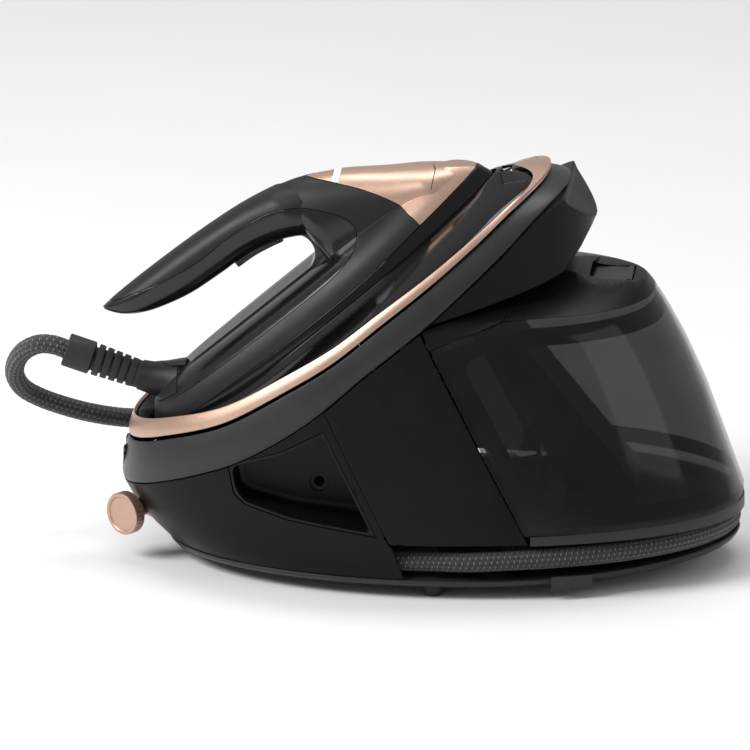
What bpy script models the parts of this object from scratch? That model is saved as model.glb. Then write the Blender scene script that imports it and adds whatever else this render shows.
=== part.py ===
"""Steam generator iron: base with boiler and pump, lift-off water tank, steam hose and iron.

Every function below takes millimetres and writes metres. World axes: +X runs from the user's
end to the water tank, +Z is up, and the body is symmetric about y = 0 apart from its fittings.
The iron is drawn in its own frame (s along the soleplate, y across, n out of the plate), which
IRON_FRAME lays on the sloping platform.
"""
import math

import bmesh
import bpy
from mathutils import Matrix, Vector

MM = 0.001
GAP = 0.3                   # clearance between neighbouring solids
WALL = 2.5                  # moulded wall thickness
RING = 48                   # points around each plan ring

# base plan and heights
BASE_X, BASE_A, BASE_B = 34.0, 192.0, 122.0
RIM_Z, RIM_T = 9.0, 5.0
SHELF_X, SHELF_A, SHELF_B = 22.0, 207.0, 124.0
SHELF_Z, SHELF_TOP = 38.0, 44.5
CHINE_X, CHINE_A, CHINE_B, CHINE_N = -38.0, 150.0, 111.0, 2.1
TRIM_X, TRIM_A, TRIM_B = -43.0, 141.5, 109.0
CHINE_LINE = [(-190, 50), (-158, 64), (-133, 74.5), (-107, 86), (-74, 106), (-46, 127), (-19, 151),
              (18, 181), (70, 228), (97, 252.5), (114, 264)]
TRIM_LINE = [(-188, 79), (-157, 94), (-114, 112.5), (-73, 138), (-41, 159), (-9, 185), (23, 210),
             (54.5, 236), (76, 254), (100, 270)]
TRIM_LIFT = 1.3
BAND_LINE = [(-188, 12), (-120, 10.5), (-40, 9.5), (23, 7), (76, 4), (100, 2)]

# sloping platform and the iron that rests on it
TILT = math.radians(40)
IRON_ORIGIN = (-166.0, 0.0, 72.0)
LOCK_HALF = 25.0            # half width of the carry-lock panel at the platform's top
TRAY_N, PAD_N, SOLE_N, SKIRT_N = -13.2, -12.9, -9.0, -4.7
IRON_HEEL, IRON_NOSE, IRON_HALF = 7.0, 297.0, 59.0
NOSE_TAPER = 0.36            # how much narrower the nose is than the heel
HANDLE_TOP = [(33, 96), (52, 96.7), (87, 96.4), (121, 95), (153, 92), (183, 85.8), (197, 80.6),
              (209, 74.3), (221, 67.5), (243, 51.6), (265, 36.4), (286, 20), (292, 13.9), (297, 8)]
HANDLE_UNDER = [(33, 93), (41, 83.6), (54, 75.3), (70, 69.8), (87, 66.1), (106, 64.5), (135, 62.8),
                (146, 60.7), (156, 57.6), (166, 53), (176, 47)]
TWO_TONE = [(37, 96.9), (77, 87), (105, 82.5), (139, 82.5), (162, 80), (177, 74), (188, 65), (202, 46),
            (206, 31)]
COLUMN_FRONT, COLUMN_DEPTH = 172.5, 14.0        # the column behind the loop rounds off over this run
LOOP_ARC = (160.0, 45.3, 13.7)               # centre and radius of the loop's closed end
HOOD_EDGE = [(197, 80.4), (208, 71), (224, 54), (236, 36), (242.5, 20), (244, 12)]
SKIRT_EDGE = [(0, 12), (20, 9.5), (62, 8.5), (190, 8.5), (244, 11.5), (300, 14)]

# water tank
TANK_LINE = [(18, 181), (92, 38)]           # its front seam, top to bottom
TANK_TILT = math.radians(14)                # it draws off rearwards and up
TANK_LEVELS = [(45.2, 206, 123), (50, 206.5, 123.5), (88, 193, 119), (120, 181.5, 114.5),
               (151, 167.5, 110.5), (172, 156, 106), (181, 150.5, 102), (187, 147, 93), (193, 143, 77),
               (198, 139, 52), (202, 134, 26), (205, 130, 9)]
TANK_TOP_EDGE = [(97, 203.6), (118, 202), (129, 198.6), (141, 197), (152, 197.2), (163, 195.5)]
GRIP_BOTTOM = [(160, 187), (100, 187), (74, 187), (44, 177.5), (24.8, 170)]
LID_HINGE = (154.0, 0.0, 196.0)

# steam hose
HOSE_D = 13.1
RELIEF_ROOT, RELIEF_END = (-177.5, 0.0, 119.4), (-225.45, 0.0, 135.4)
LOOP = [(-246, 2, 138.5), (-256, 8, 132), (-262, 16, 122), (-263.5, 25, 110.5), (-259, 33, 99.5),
        (-249, 39, 91.5), (-234, 44, 84.5), (-216, 49, 78.3), (-196, 62, 71.5)]
HOSE_FINE = 16              # points kept close together where the hose turns by the iron
HOSE_SPLIT = 0.052          # metres of hose that ride with the iron
GROOVE_IN = 95.5            # half width of the groove's inner wall
BUTTON_X, BUTTON_Z = -187.6, 68.0
KNOB_ROOT, KNOB_DIR = (-163.0, -9.0, 34.0), (-0.66, -0.75, -0.05)

COLOURS = {
    "matte_black": ((0.012, 0.012, 0.013), 0.0, 0.55),
    "satin_grey": ((0.022, 0.022, 0.024), 0.0, 0.42),
    "gloss_black": ((0.006, 0.006, 0.007), 0.0, 0.12),
    "copper": ((0.60, 0.33, 0.22), 0.85, 0.34),
    "smoke": ((0.03, 0.03, 0.032), 0.0, 0.08),
    "rubber": ((0.015, 0.015, 0.015), 0.0, 0.8),
    "braid": ((0.03, 0.03, 0.03), 0.0, 0.8),
    "steel": ((0.55, 0.55, 0.55), 1.0, 0.3),
    "aluminium": ((0.7, 0.7, 0.7), 1.0, 0.4),
    "white": ((0.8, 0.8, 0.8), 0.0, 0.4),
    "brass": ((0.7, 0.5, 0.2), 1.0, 0.35),
    "board": ((0.02, 0.12, 0.05), 0.0, 0.5),
}


# ---------------------------------------------------------------- scene and materials

def clear_scene():
    for item in list(bpy.data.objects):
        bpy.data.objects.remove(item, do_unlink=True)


def new_collection(name):
    found = bpy.data.collections.new(name)
    bpy.context.scene.collection.children.link(found)
    return found


def new_material(name):
    rgb, metallic, roughness = COLOURS[name]
    made = bpy.data.materials.new(name)
    made.use_nodes = True
    shader = made.node_tree.nodes["Principled BSDF"]
    shader.inputs["Base Color"].default_value = (*rgb, 1.0)
    shader.inputs["Metallic"].default_value = metallic
    shader.inputs["Roughness"].default_value = roughness
    made.diffuse_color = (*rgb, 1.0)
    return made


clear_scene()
PARTS = new_collection("steam_generator_iron")
CUTTERS = new_collection("cutters")
MATERIALS = {name: new_material(name) for name in COLOURS}


# ---------------------------------------------------------------- curves and outlines

def smooth_line(points, at):
    """Height of a smooth curve through points at one abscissa."""
    if at <= points[0][0]:
        return points[0][1]
    if at >= points[-1][0]:
        return points[-1][1]
    i = next(k for k in range(len(points) - 1) if at <= points[k + 1][0])
    slopes = []
    for k in (i, i + 1):
        before, after = points[max(k - 1, 0)], points[min(k + 1, len(points) - 1)]
        slopes.append((after[1] - before[1]) / (after[0] - before[0]))
    (x0, y0), (x1, y1) = points[i], points[i + 1]
    step = x1 - x0
    t = (at - x0) / step
    return ((2 * t**3 - 3 * t**2 + 1) * y0 + (t**3 - 2 * t**2 + t) * step * slopes[0]
            + (3 * t**2 - 2 * t**3) * y1 + (t**3 - t**2) * step * slopes[1])


def power(value, exponent):
    return math.copysign(abs(value) ** exponent, value)


def plan_ring(centre, a, b, height, n=2.0, count=RING):
    """Closed plan oval; height is a number or a function of x."""
    ring = []
    for k in range(count):
        angle = 2 * math.pi * k / count
        x = centre + a * power(math.cos(angle), 2 / n)
        y = b * power(math.sin(angle), 2 / n)
        ring.append((x, y, height(x) if callable(height) else height))
    return ring


def grow(ring, amount):
    """Ring moved outwards in plan, along its own normals."""
    grown = []
    for k, (x, y, z) in enumerate(ring):
        ahead, behind = ring[(k + 1) % len(ring)], ring[k - 1]
        run = Vector((ahead[0] - behind[0], ahead[1] - behind[1]))
        normal = Vector((run.y, -run.x)).normalized()
        grown.append((x + amount * normal.x, y + amount * normal.y, z))
    return grown


def blend_rings(low, high, t, bulge=0.0):
    mixed = [tuple(p + (q - p) * t for p, q in zip(a, b)) for a, b in zip(low, high)]
    return grow(mixed, bulge)


# ---------------------------------------------------------------- solids

def to_mesh(name, vertices, faces):
    mesh = bpy.data.meshes.new(name)
    mesh.from_pydata([Vector(v) * MM for v in vertices], [], faces)
    work = bmesh.new()
    work.from_mesh(mesh)
    bmesh.ops.recalc_face_normals(work, faces=work.faces)
    work.to_mesh(mesh)
    work.free()
    return mesh


def new_object(name, mesh, group=None):
    made = bpy.data.objects.new(name, mesh)
    (group or CUTTERS).objects.link(made)
    return made


def skin(name, rings, ends="fan"):
    """Surface over rings of equal count; its ends are a fan, one flat face, or open."""
    count = len(rings[0])
    vertices = [point for ring in rings for point in ring]
    faces = []
    for r in range(len(rings) - 1):
        for k in range(count):
            j = (k + 1) % count
            faces.append((r * count + k, r * count + j, (r + 1) * count + j, (r + 1) * count + k))
    for start in (0, (len(rings) - 1) * count):
        if ends == "flat":
            faces.append(tuple(range(start, start + count)))
        elif ends == "fan":
            middle = [sum(v[i] for v in vertices[start:start + count]) / count for i in range(3)]
            vertices.append(middle)
            hub = len(vertices) - 1
            faces += [(start + k, start + (k + 1) % count, hub) for k in range(count)]
    return new_object(name, to_mesh(name, vertices, faces))


def prism(name, outline, low, high, across="y"):
    """Outline of (x, z) pairs carried along y, or of (x, y) pairs carried along z."""
    if across == "y":
        rings = [[(x, side, z) for x, z in outline] for side in (low, high)]
    else:
        rings = [[(x, y, side) for x, y in outline] for side in (low, high)]
    count = len(outline)
    faces = [tuple(range(count)), tuple(range(2 * count - 1, count - 1, -1))]
    faces += [(k, (k + 1) % count, count + (k + 1) % count, count + k) for k in range(count)]
    return new_object(name, to_mesh(name, rings[0] + rings[1], faces))


def block(name, low, high):
    made = prism(name, [(low[0], low[2]), (high[0], low[2]), (high[0], high[2]), (low[0], high[2])],
                 low[1], high[1])
    return made


def bake(item):
    """Replace an object's mesh by the evaluated one, so later steps see a plain mesh."""
    bpy.context.view_layer.update()
    graph = bpy.context.evaluated_depsgraph_get()
    mesh = bpy.data.meshes.new_from_object(item.evaluated_get(graph))
    item.modifiers.clear()
    item.data = mesh
    return item


def combine(target, other, operation="DIFFERENCE", keep=False):
    modifier = target.modifiers.new("combine", "BOOLEAN")
    modifier.operation = operation
    modifier.object = other
    bake(target)
    if not keep:
        bpy.data.objects.remove(other, do_unlink=True)
    return target


def thicken(surface, thickness):
    """Wall laid inwards from an open surface."""
    modifier = surface.modifiers.new("wall", "SOLIDIFY")
    modifier.thickness = thickness * MM
    modifier.offset = -1
    modifier.use_even_offset = True
    modifier.thickness_clamp = 0
    return bake(surface)


def copy_of(item, name):
    made = new_object(name, item.data.copy())
    return made


def turned(name, profile, origin, direction, steps=24):
    """Profile of (radius, height) pairs, top to bottom down its outer side, spun about an axis."""
    mesh = bpy.data.meshes.new(name)
    vertices = [(r * MM, 0.0, h * MM) for r, h in profile]
    mesh.from_pydata(vertices, [(k, k + 1) for k in range(len(vertices) - 1)], [])
    made = new_object(name, mesh)
    screw = made.modifiers.new("turn", "SCREW")
    screw.steps = steps
    screw.render_steps = steps
    screw.use_merge_vertices = True
    screw.merge_threshold = 0.00001
    bake(made)
    aim = Vector(direction).normalized().to_track_quat("Z", "X").to_matrix().to_4x4()
    made.data.transform(Matrix.Translation(Vector(origin) * MM) @ aim)
    work = bmesh.new()
    work.from_mesh(made.data)
    bmesh.ops.remove_doubles(work, verts=work.verts, dist=0.00001)
    bmesh.ops.recalc_face_normals(work, faces=work.faces)
    work.to_mesh(made.data)
    work.free()
    return made


def rod(name, radius, start, end, steps=24):
    length = (Vector(end) - Vector(start)).length
    profile = [(0, length), (radius, length), (radius, 0), (0, 0)]
    return turned(name, profile, start, Vector(end) - Vector(start), steps)


def smooth_route(points, step):
    """Even points on a Catmull-Rom curve through route points, all in millimetres."""
    knots = [Vector(p) for p in points]
    knots = [2 * knots[0] - knots[1]] + knots + [2 * knots[-1] - knots[-2]]
    dense = []
    for k in range(1, len(knots) - 2):
        a, b, c, d = knots[k - 1:k + 3]
        for i in range(24):
            t = i / 24
            dense.append(0.5 * (2 * b + (c - a) * t + (2 * a - 5 * b + 4 * c - d) * t**2
                                + (3 * b - 3 * c + d - a) * t**3))
    dense.append(knots[-2])
    total = sum((q - p).length for p, q in zip(dense, dense[1:]))
    spacing = total / max(1, round(total / step))
    even, carried = [dense[0]], 0.0
    for p, q in zip(dense, dense[1:]):
        piece = (q - p).length
        while carried + piece >= spacing:
            p = p + (q - p) * ((spacing - carried) / piece)
            even.append(p)
            piece = (q - p).length
            carried = 0.0
        carried += piece
    if (even[-1] - dense[-1]).length < spacing * 0.5:
        even.pop()
    return even + [dense[-1]]


def tube(name, route, radius, resolution=2):
    curve = bpy.data.curves.new(name, "CURVE")
    curve.dimensions = "3D"
    curve.bevel_depth = radius * MM
    curve.bevel_resolution = resolution
    curve.use_fill_caps = True
    spline = curve.splines.new("POLY")
    spline.points.add(len(route) - 1)
    for point, place in zip(spline.points, route):
        point.co = (*(Vector(place) * MM), 1.0)
    return new_object(name, curve)


def finish_part(item, name, material, smooth=40):
    """Name a solid, give it its material and move it to the parts collection."""
    item.name = name
    item.data.name = name
    item.data.materials.clear()
    item.data.materials.append(MATERIALS[material])
    if item.type == "MESH":
        work = bmesh.new()
        work.from_mesh(item.data)
        bmesh.ops.remove_doubles(work, verts=work.verts, dist=0.000002)
        bmesh.ops.dissolve_degenerate(work, edges=work.edges, dist=0.000001)
        work.to_mesh(item.data)
        work.free()
        item.data.shade_smooth()
        item.data.set_sharp_from_angle(angle=math.radians(smooth))
    CUTTERS.objects.unlink(item)
    PARTS.objects.link(item)
    return item


IRON_FRAME = (Matrix.Translation(Vector(IRON_ORIGIN) * MM) @ Matrix.Rotation(-TILT, 4, "Y"))


def on_platform(item):
    """Carry a solid from the iron's frame to the world."""
    item.data.transform(IRON_FRAME)
    return item


def platform_point(s, y, n):
    return tuple((IRON_FRAME @ (Vector((s, y, n)) * MM)) / MM)


def joint_frame(name, at, items):
    """Empty on a joint's axis that carries the moving pieces."""
    empty = bpy.data.objects.new(name, None)
    PARTS.objects.link(empty)
    empty.location = Vector(at) * MM
    bpy.context.view_layer.update()
    for item in items:
        item.parent = empty
        item.matrix_parent_inverse = empty.matrix_world.inverted()
    return empty


# ---------------------------------------------------------------- surfaces shared by the shells

def rim_height(x):
    return RIM_Z + 0.0003 * max(0.0, x - 60) ** 2


def chine_height(x):
    return smooth_line(CHINE_LINE, x)


def trim_height(x):
    return smooth_line(TRIM_LINE, x)


def trim_top_height(x):
    return trim_height(x) + smooth_line(BAND_LINE, x)


BASE_RING = plan_ring(BASE_X, BASE_A, BASE_B, lambda x: rim_height(x) + RIM_T + GAP)
CHINE_RING = plan_ring(CHINE_X, CHINE_A, CHINE_B, chine_height, CHINE_N)
TRIM_RING = plan_ring(TRIM_X, TRIM_A, TRIM_B, trim_height)
TRIM_TOP_RING = plan_ring(TRIM_X, TRIM_A - 3.5, TRIM_B - 3.5, trim_top_height)
HULL_LEVELS = [(0.0, 0.0), (0.1, 1.5), (0.28, 3.0), (0.55, 3.5), (0.8, 2.0), (1.0, 0.0)]


def hull_rings(offset):
    return [blend_rings(BASE_RING, CHINE_RING, t, bulge + offset) for t, bulge in HULL_LEVELS]


HULL_OUTLINE = [(-260, 5), (12, 5), (-1, 38.6), (91.5, 38.6), (17.4, 181.8), (17.4, 240), (-260, 240)]
PANEL_OUTLINE = [(-46.6, 128), (-1.6, 38.9), (91.2, 38.9), (17.1, 181.8), (17.1, 240), (-46.6, 240)]
POCKET_OUTLINE = [(-112, 86), (-108, 66), (-100, 59), (-70, 51), (-10, 43), (-46, 114), (-76, 98)]


def inset(outline, amount):
    """Outline shrunk towards its inside by a constant distance."""
    count = len(outline)
    area = sum(outline[k][0] * outline[(k + 1) % count][1] - outline[(k + 1) % count][0] * outline[k][1]
               for k in range(count))
    side = 1 if area > 0 else -1
    moved = []
    for k in range(count):
        a, b, c = (Vector(outline[(k + d) % count]) for d in (-1, 0, 1))
        n1 = Vector((-(b - a).y, (b - a).x)).normalized() * side
        n2 = Vector((-(c - b).y, (c - b).x)).normalized() * side
        bisector = (n1 + n2) / (1 + n1.dot(n2))
        moved.append(tuple(b + bisector * amount))
    return moved


# ---------------------------------------------------------------- base

def make_base_plate():
    low = plan_ring(BASE_X, BASE_A - 3, BASE_B - 3, rim_height)
    high = [(x, y, z + RIM_T) for x, y, z in plan_ring(BASE_X, BASE_A, BASE_B, rim_height)]
    floor = [plan_ring(BASE_X, BASE_A * 0.8, BASE_B * 0.8, z) for z in (RIM_Z, RIM_Z + RIM_T)]
    plate = skin("base_plate", [floor[0], low, high, floor[1]], "flat")
    finish_part(plate, "base_plate", "satin_grey")


def make_feet():
    places = {"foot_front": (-118, 0), "foot_side_near": (27, -106), "foot_side_far": (27, 106),
              "foot_rear": (176, 0)}
    for name, (x, y) in places.items():
        top = RIM_Z - GAP
        profile = [(0, top), (7.5, top), (7.5, 4), (6.5, 1.2), (4, 0), (0, 0)]
        finish_part(turned(name, profile, (x, y, 0), (0, 0, 1), 16), name, "rubber")


def make_hull():
    hull = thicken(skin("hull", hull_rings(0.0), ends="open"), WALL)
    combine(hull, prism("keep", HULL_OUTLINE, -150, 150), "INTERSECT")
    for side in (-1, 1):
        combine(hull, prism("panel_gap", inset(PANEL_OUTLINE, -GAP), 40 * side, 150 * side))
    combine(hull, prism("pocket_cut", POCKET_OUTLINE, -150, -60))
    combine(hull, knob_bore(9.5))
    finish_part(hull, "lower_hull", "matte_black")
    for name, side in (("side_panel_near", -1), ("side_panel_far", 1)):
        panel = thicken(skin(name, hull_rings(1.2), ends="open"), WALL + 0.7)
        combine(panel, prism("keep", PANEL_OUTLINE, 40 * side, 150 * side), "INTERSECT")
        finish_part(panel, name, "matte_black")


def make_cord_pocket():
    pocket = skin("cord_pocket", hull_rings(-0.8))
    combine(pocket, prism("outer", inset(POCKET_OUTLINE, GAP), -150, -72), "INTERSECT")
    combine(pocket, prism("hollow", inset(POCKET_OUTLINE, 2.3), -150, -74.3))
    combine(pocket, rod("cord_hole", 6.5, (-52, -80, 68), (-52, -60, 68), 16))
    finish_part(pocket, "cord_pocket", "matte_black")
    profile = [(3.6, 12), (5.5, 12), (6.0, 3.0), (9, 2.6), (9, 0), (3.6, 0), (3.6, 12)]
    gland = turned("cord_inlet", profile, (-52, -71.8, 68), (0, 1, 0), 16)
    finish_part(gland, "cord_inlet", "rubber")


def make_shelf():
    low = plan_ring(SHELF_X, SHELF_A, SHELF_B, lambda x: SHELF_Z - 0.00004 * max(0, x) ** 2)
    high = plan_ring(SHELF_X, SHELF_A, SHELF_B, SHELF_TOP)
    shelf = skin("tank_shelf", [low, high])
    combine(shelf, prism("keep", [(93, 30), (240, 30), (240, 50), (93, 50)], -140, 140), "INTERSECT")
    finish_part(shelf, "tank_shelf", "satin_grey")
    wall_low = plan_ring(BASE_X - 2, BASE_A - 29, GROOVE_IN, lambda x: rim_height(x) + RIM_T + GAP)
    wall_top = plan_ring(BASE_X - 2, BASE_A - 29, GROOVE_IN, 34.2)
    groove = thicken(skin("groove_wall", [wall_low, wall_top], ends="open"), WALL)
    combine(groove, prism("keep", [(14, 5), (240, 5), (240, 60), (14, 60)], -140, 140), "INTERSECT")
    combine(groove, block("gland_notch", (10, -102, 0), (76, -74, 60)))
    finish_part(groove, "groove_wall", "matte_black")


def make_upper_shell():
    low, high = grow(CHINE_RING, 0.0), TRIM_RING
    rings = [blend_rings(low, high, t, bulge) for t, bulge in ((0, 0), (0.12, 1.4), (0.5, 2.0), (1, 0))]
    rings = [[(x, y, z + lift) for x, y, z in ring] for ring, lift in zip(rings, (0.9, 0.7, 0.1, -1.3))]
    shell = thicken(skin("upper_shell", rings, ends="open"), WALL)
    for y in (-13, 13):
        combine(shell, rod("button_hole", 6.8, (-200, y, BUTTON_Z), (-170, y, BUTTON_Z), 20))
    finish_part(shell, "upper_shell", "satin_grey")
    low = [(x, y, z + TRIM_LIFT) for x, y, z in grow(TRIM_RING, 0.5)]
    high = [(x, y, z + TRIM_LIFT) for x, y, z in grow(TRIM_TOP_RING, 0.5)]
    trim = thicken(skin("trim_ring", [low, blend_rings(low, high, 0.5, 0.8), high], ends="open"), 2.2)
    finish_part(trim, "trim_ring", "copper")


def iron_width(s):
    """Half width of the iron's plan: an oval drawn in towards the nose."""
    along = min(1.0, max(-1.0, (2 * s - IRON_HEEL - IRON_NOSE) / (IRON_NOSE - IRON_HEEL)))
    return IRON_HALF * math.sqrt(1 - along**2) * (1 - NOSE_TAPER * along**3)


def iron_ring(outset, n, count=RING):
    """Plan of the iron in its own frame, grown by an amount on every side."""
    ring = []
    middle, half = (IRON_HEEL + IRON_NOSE) / 2, (IRON_NOSE - IRON_HEEL) / 2
    for k in range(count):
        angle = 2 * math.pi * k / count
        y = (IRON_HALF + outset) * math.sin(angle) * (1 - NOSE_TAPER * math.cos(angle) ** 3)
        ring.append((middle + (half + outset) * math.cos(angle), y, n))
    return ring


def well_ring(outset, n):
    return [platform_point(*p) for p in iron_ring(outset, n)]


def make_platform():
    outer = [(x, y, z - 0.6) for x, y, z in grow(TRIM_TOP_RING, -2.4)]
    inner = [platform_point(s, y, 3.0 + 9.0 * max(0.0, 1 - s / 70) ** 2) for s, y, _ in iron_ring(3.2, 0)]
    rings = [outer, blend_rings(outer, inner, 0.25), blend_rings(outer, inner, 0.75), inner]
    rings[1] = [(x, y, z + 1.5) for x, y, z in rings[1]]
    rings[2] = [(x, y, z + 1.5) for x, y, z in rings[2]]
    wall = well_ring(1.8, TRAY_N + 2.1)
    rim = thicken(skin("platform_rim", rings + [wall], ends="open"), 1.8)
    combine(rim, lock_cutter(GAP))
    finish_part(rim, "platform_rim", "gloss_black")
    tray = skin("platform_tray", [iron_ring(2.6, TRAY_N - 3), iron_ring(2.6, TRAY_N)])
    tray = on_platform(tray)
    finish_part(tray, "platform_tray", "matte_black")
    return tray


def lock_cutter(extra):
    half = LOCK_HALF + extra
    outline = [(303 - extra, -30), (303 - extra, 20), (350, 20), (350, -30)]
    space = prism("lock_space", outline, -half, half)
    return on_platform(combine(space, block("hook_space", (295, -6.6, -40), (306, 6.6, 30)), "UNION"))


def make_rear_block():
    outline = [(19.5, 182.4)] + [(x, chine_height(x) - 0.9) for x in (36, 53, 70, 86, 98, 111)]
    outline += [(114, 256), (130, 239), (121.5, 224), (111, 210), (97, 204.8)]
    body = skin("rear_block", [plan_ring(-20, 150, 99, z) for z in (150, 290)])
    combine(body, prism("side", outline, -130, 130), "INTERSECT")
    inner = prism("inner", [(38, 190), (94, 207), (98, 244), (60, 211), (38, 192)], -60, 60)
    combine(body, inner)
    combine(body, prism("mouth", [(50, 196), (72, 204), (72, 240), (50, 240)], -50, 50))
    finish_part(body, "rear_block", "matte_black")


def make_hose_clip():
    clip = block("hose_clip", (107, -140, 6.4), (134, -60, 16.4))
    outer, inner = (skin("band", [plan_ring(BASE_X, BASE_A + d, BASE_B + d, z) for z in (0, 30)])
                    for d in (3.2, GAP))
    combine(clip, outer, "INTERSECT")
    combine(clip, inner)
    finish_part(clip, "hose_clip", "satin_grey")


def knob_frame():
    origin, aim = Vector(KNOB_ROOT), Vector(KNOB_DIR).normalized()
    return origin, aim


def knob_bore(radius):
    origin, aim = knob_frame()
    return rod("knob_bore", radius, origin - aim * 4, origin + aim * 40, 24)


def make_descaler():
    origin, aim = knob_frame()
    seat = turned("drain_seat", [(4.5, 8), (9, 8), (9, 2), (5.6, 1), (5.6, -12), (4.5, -12), (4.5, 8)],
                  origin, aim)
    finish_part(seat, "drain_seat", "brass")
    profile = [(0, 36), (11.6, 36), (11.6, 37.4), (13.6, 37.4), (14.5, 36.6), (14.5, 30), (13.5, 29),
               (6.2, 27), (5.6, 12), (8.6, 10.5), (8.6, 8.4), (4, 8.4), (4, -3), (0, -3)]
    knob = finish_part(turned("descale_knob", profile, origin, aim, 28), "descale_knob", "copper")
    joint_frame("descale_knob_axis", origin, [knob])
    route = smooth_route([origin - aim * 12.4, origin - aim * 24, (-120, 14, 44), (-100, 2, 58),
                          (-79, 0, 62)], 9)
    finish_part(tube("drain_tube", route, 4), "drain_tube", "rubber")


def make_boiler():
    cap, r, at = 8.0, 36.0, (-76.0, 0.0, 72.0)
    length = 108.0
    profile = [(0, length), (r - cap, length), (r - 2, length - 3), (r, length - cap), (r, cap),
               (r - 2, 3), (r - cap, 0), (0, 0)]
    boiler = turned("boiler", profile, at, (1, 0, 0), 24)
    finish_part(boiler, "boiler", "aluminium")
    band = turned("heater_band", [(r + 0.3, 34), (r + 3.5, 34), (r + 3.5, 10), (r + 0.3, 10), (r + 0.3, 34)],
                  (-60, 0, 72), (1, 0, 0), 32)
    combine(band, block("open_top", (-80, -9, 100), (0, 9, 125)))
    finish_part(band, "heater_band", "steel")
    cradle = prism("boiler_cradle", [(-24, 14.4), (30, 14.4), (30, 58), (18, 58), (18, 19), (-12, 19),
                                     (-12, 58), (-24, 58)], -34, 34)
    combine(cradle, rod("saddle", r + GAP, (-30, 0, 72), (40, 0, 72), 32))
    finish_part(cradle, "boiler_cradle", "steel")
    cap_part = turned("boiler_thermostat", [(0, 8), (6, 8), (6, 5), (10, 5), (10, 0.3), (0, 0.3)],
                      (-76, 0, 86), (-1, 0, 0), 20)
    finish_part(cap_part, "boiler_thermostat", "steel")
    valve = turned("steam_valve", [(0, 34), (10, 34), (10, 10), (5, 10), (5, 0.3), (0, 0.3)],
                   (10, 0, 108), (0, 0, 1), 20)
    combine(valve, block("coil_head", (-3, -13, 122), (23, 13, 138)), "UNION")
    finish_part(valve, "steam_valve", "steel")


def make_pump():
    body = rod("pump", 15, (-104, 42, 34), (-56, 42, 34), 24)
    combine(body, rod("nose", 5, (-58, 42, 34), (-42, 42, 34), 16), "UNION")
    finish_part(body, "pump", "steel")
    bracket = prism("pump_bracket", [(-95, 14.4), (-65, 14.4), (-65, 32), (-95, 32)], 24, 60)
    combine(bracket, rod("pump_seat", 15.3, (-120, 42, 34), (-40, 42, 34), 24))
    finish_part(bracket, "pump_bracket", "rubber")
    board = block("control_board", (-70, 58, 62), (20, 59.6, 108))
    for k, (x, z, w) in enumerate(((-55, 72, 14), (-30, 80, 18), (0, 75, 12), (-45, 96, 10))):
        combine(board, block("chip%d" % k, (x, 50, z), (x + w, 58.8, z + w * 0.8)), "UNION")
    finish_part(board, "control_board", "board")


def draw_direction():
    return Vector((math.cos(TANK_TILT), 0, math.sin(TANK_TILT)))


VALVE_AT = Vector((86.0, 0.0, 62.0))


def make_water_path():
    aim = draw_direction()
    socket = turned("tank_coupling", [(7.2, 9.5), (10, 9.5), (10, -2), (4, -2), (4, 0), (7.2, 0), (7.2, 9.5)],
                    VALVE_AT - aim * 19, aim, 24)
    finish_part(socket, "tank_coupling", "rubber")
    start = VALVE_AT - aim * 21.4
    route = smooth_route([start, start - aim * 10, (46, 26, 50), (30, 46, 40), (0, 49, 34),
                          (-30, 43, 34), (-41.6, 42, 34)], 9)
    finish_part(tube("water_tube", route, 4), "water_tube", "rubber")
    gland_at = (52.0, -100.5, 26.4)
    gland = turned("hose_gland", [(4, 20), (7.4, 20), (7.4, 4), (6, 0), (4, 0), (4, 20)], gland_at,
                   (1, 0, 0), 20)
    finish_part(gland, "hose_gland", "rubber")
    route = smooth_route([(24.2, 0, 130), (31, -0.6, 130), (38, -16, 121), (38, -46, 96), (35, -76, 62),
                          (31, -92, 36), (37, -99.5, 27), (51.6, -100.5, 26.4)], 9)
    finish_part(tube("steam_tube", route, 4.5), "steam_tube", "rubber")


def make_buttons():
    profile = [(0, 13), (6.3, 13), (6.3, 1.2), (5.6, 0), (0, 0)]
    for name, y in (("power_button", -13), ("mode_button", 13)):
        at = (BUTTON_X, y, BUTTON_Z)
        button = finish_part(turned(name, profile, at, (1, 0, 0), 20), name, "gloss_black")
        joint_frame(name + "_frame", at, [button])


def make_lock():
    panel = on_platform(prism("lock_panel", [(303, -6), (305, 3.4), (310, 2.4), (321.2, -8.2), (321.2, -17),
                                             (308, -17)], -LOCK_HALF, LOCK_HALF))
    combine(panel, on_platform(block("button_space", (309.2, -13, -30), (319, 13, 20))))
    combine(panel, on_platform(block("hook_travel", (302, -6.6, -30), (309.6, 6.6, 1.4))))
    finish_part(panel, "lock_panel", "gloss_black")
    button = on_platform(prism("lock_button", [(309.6, 4.0), (318.6, -4.4), (318.6, -15), (309.6, -15)],
                               -12.6, 12.6))
    finish_part(button, "lock_button", "gloss_black")
    hook = on_platform(prism("lock_hook", [(300.2, 1.2), (302.4, -1), (302.4, -19), (316, -19),
                                           (316, -22), (300.2, -22)], -6, 6))
    finish_part(hook, "lock_hook", "steel")
    joint_frame("lock_press_frame", platform_point(314, 0, 0), [button])
    joint_frame("lock_hook_frame", platform_point(301, 0, -10), [hook])


# ---------------------------------------------------------------- water tank

def tank_rings(offset):
    return [plan_ring(SHELF_X, a + offset, b + offset, z, 2.25) for z, a, b in TANK_LEVELS]


def tank_edge(z):
    (x0, z0), (x1, z1) = TANK_LINE
    return x0 + (z0 - z) / (z0 - z1) * (x1 - x0)


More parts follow.
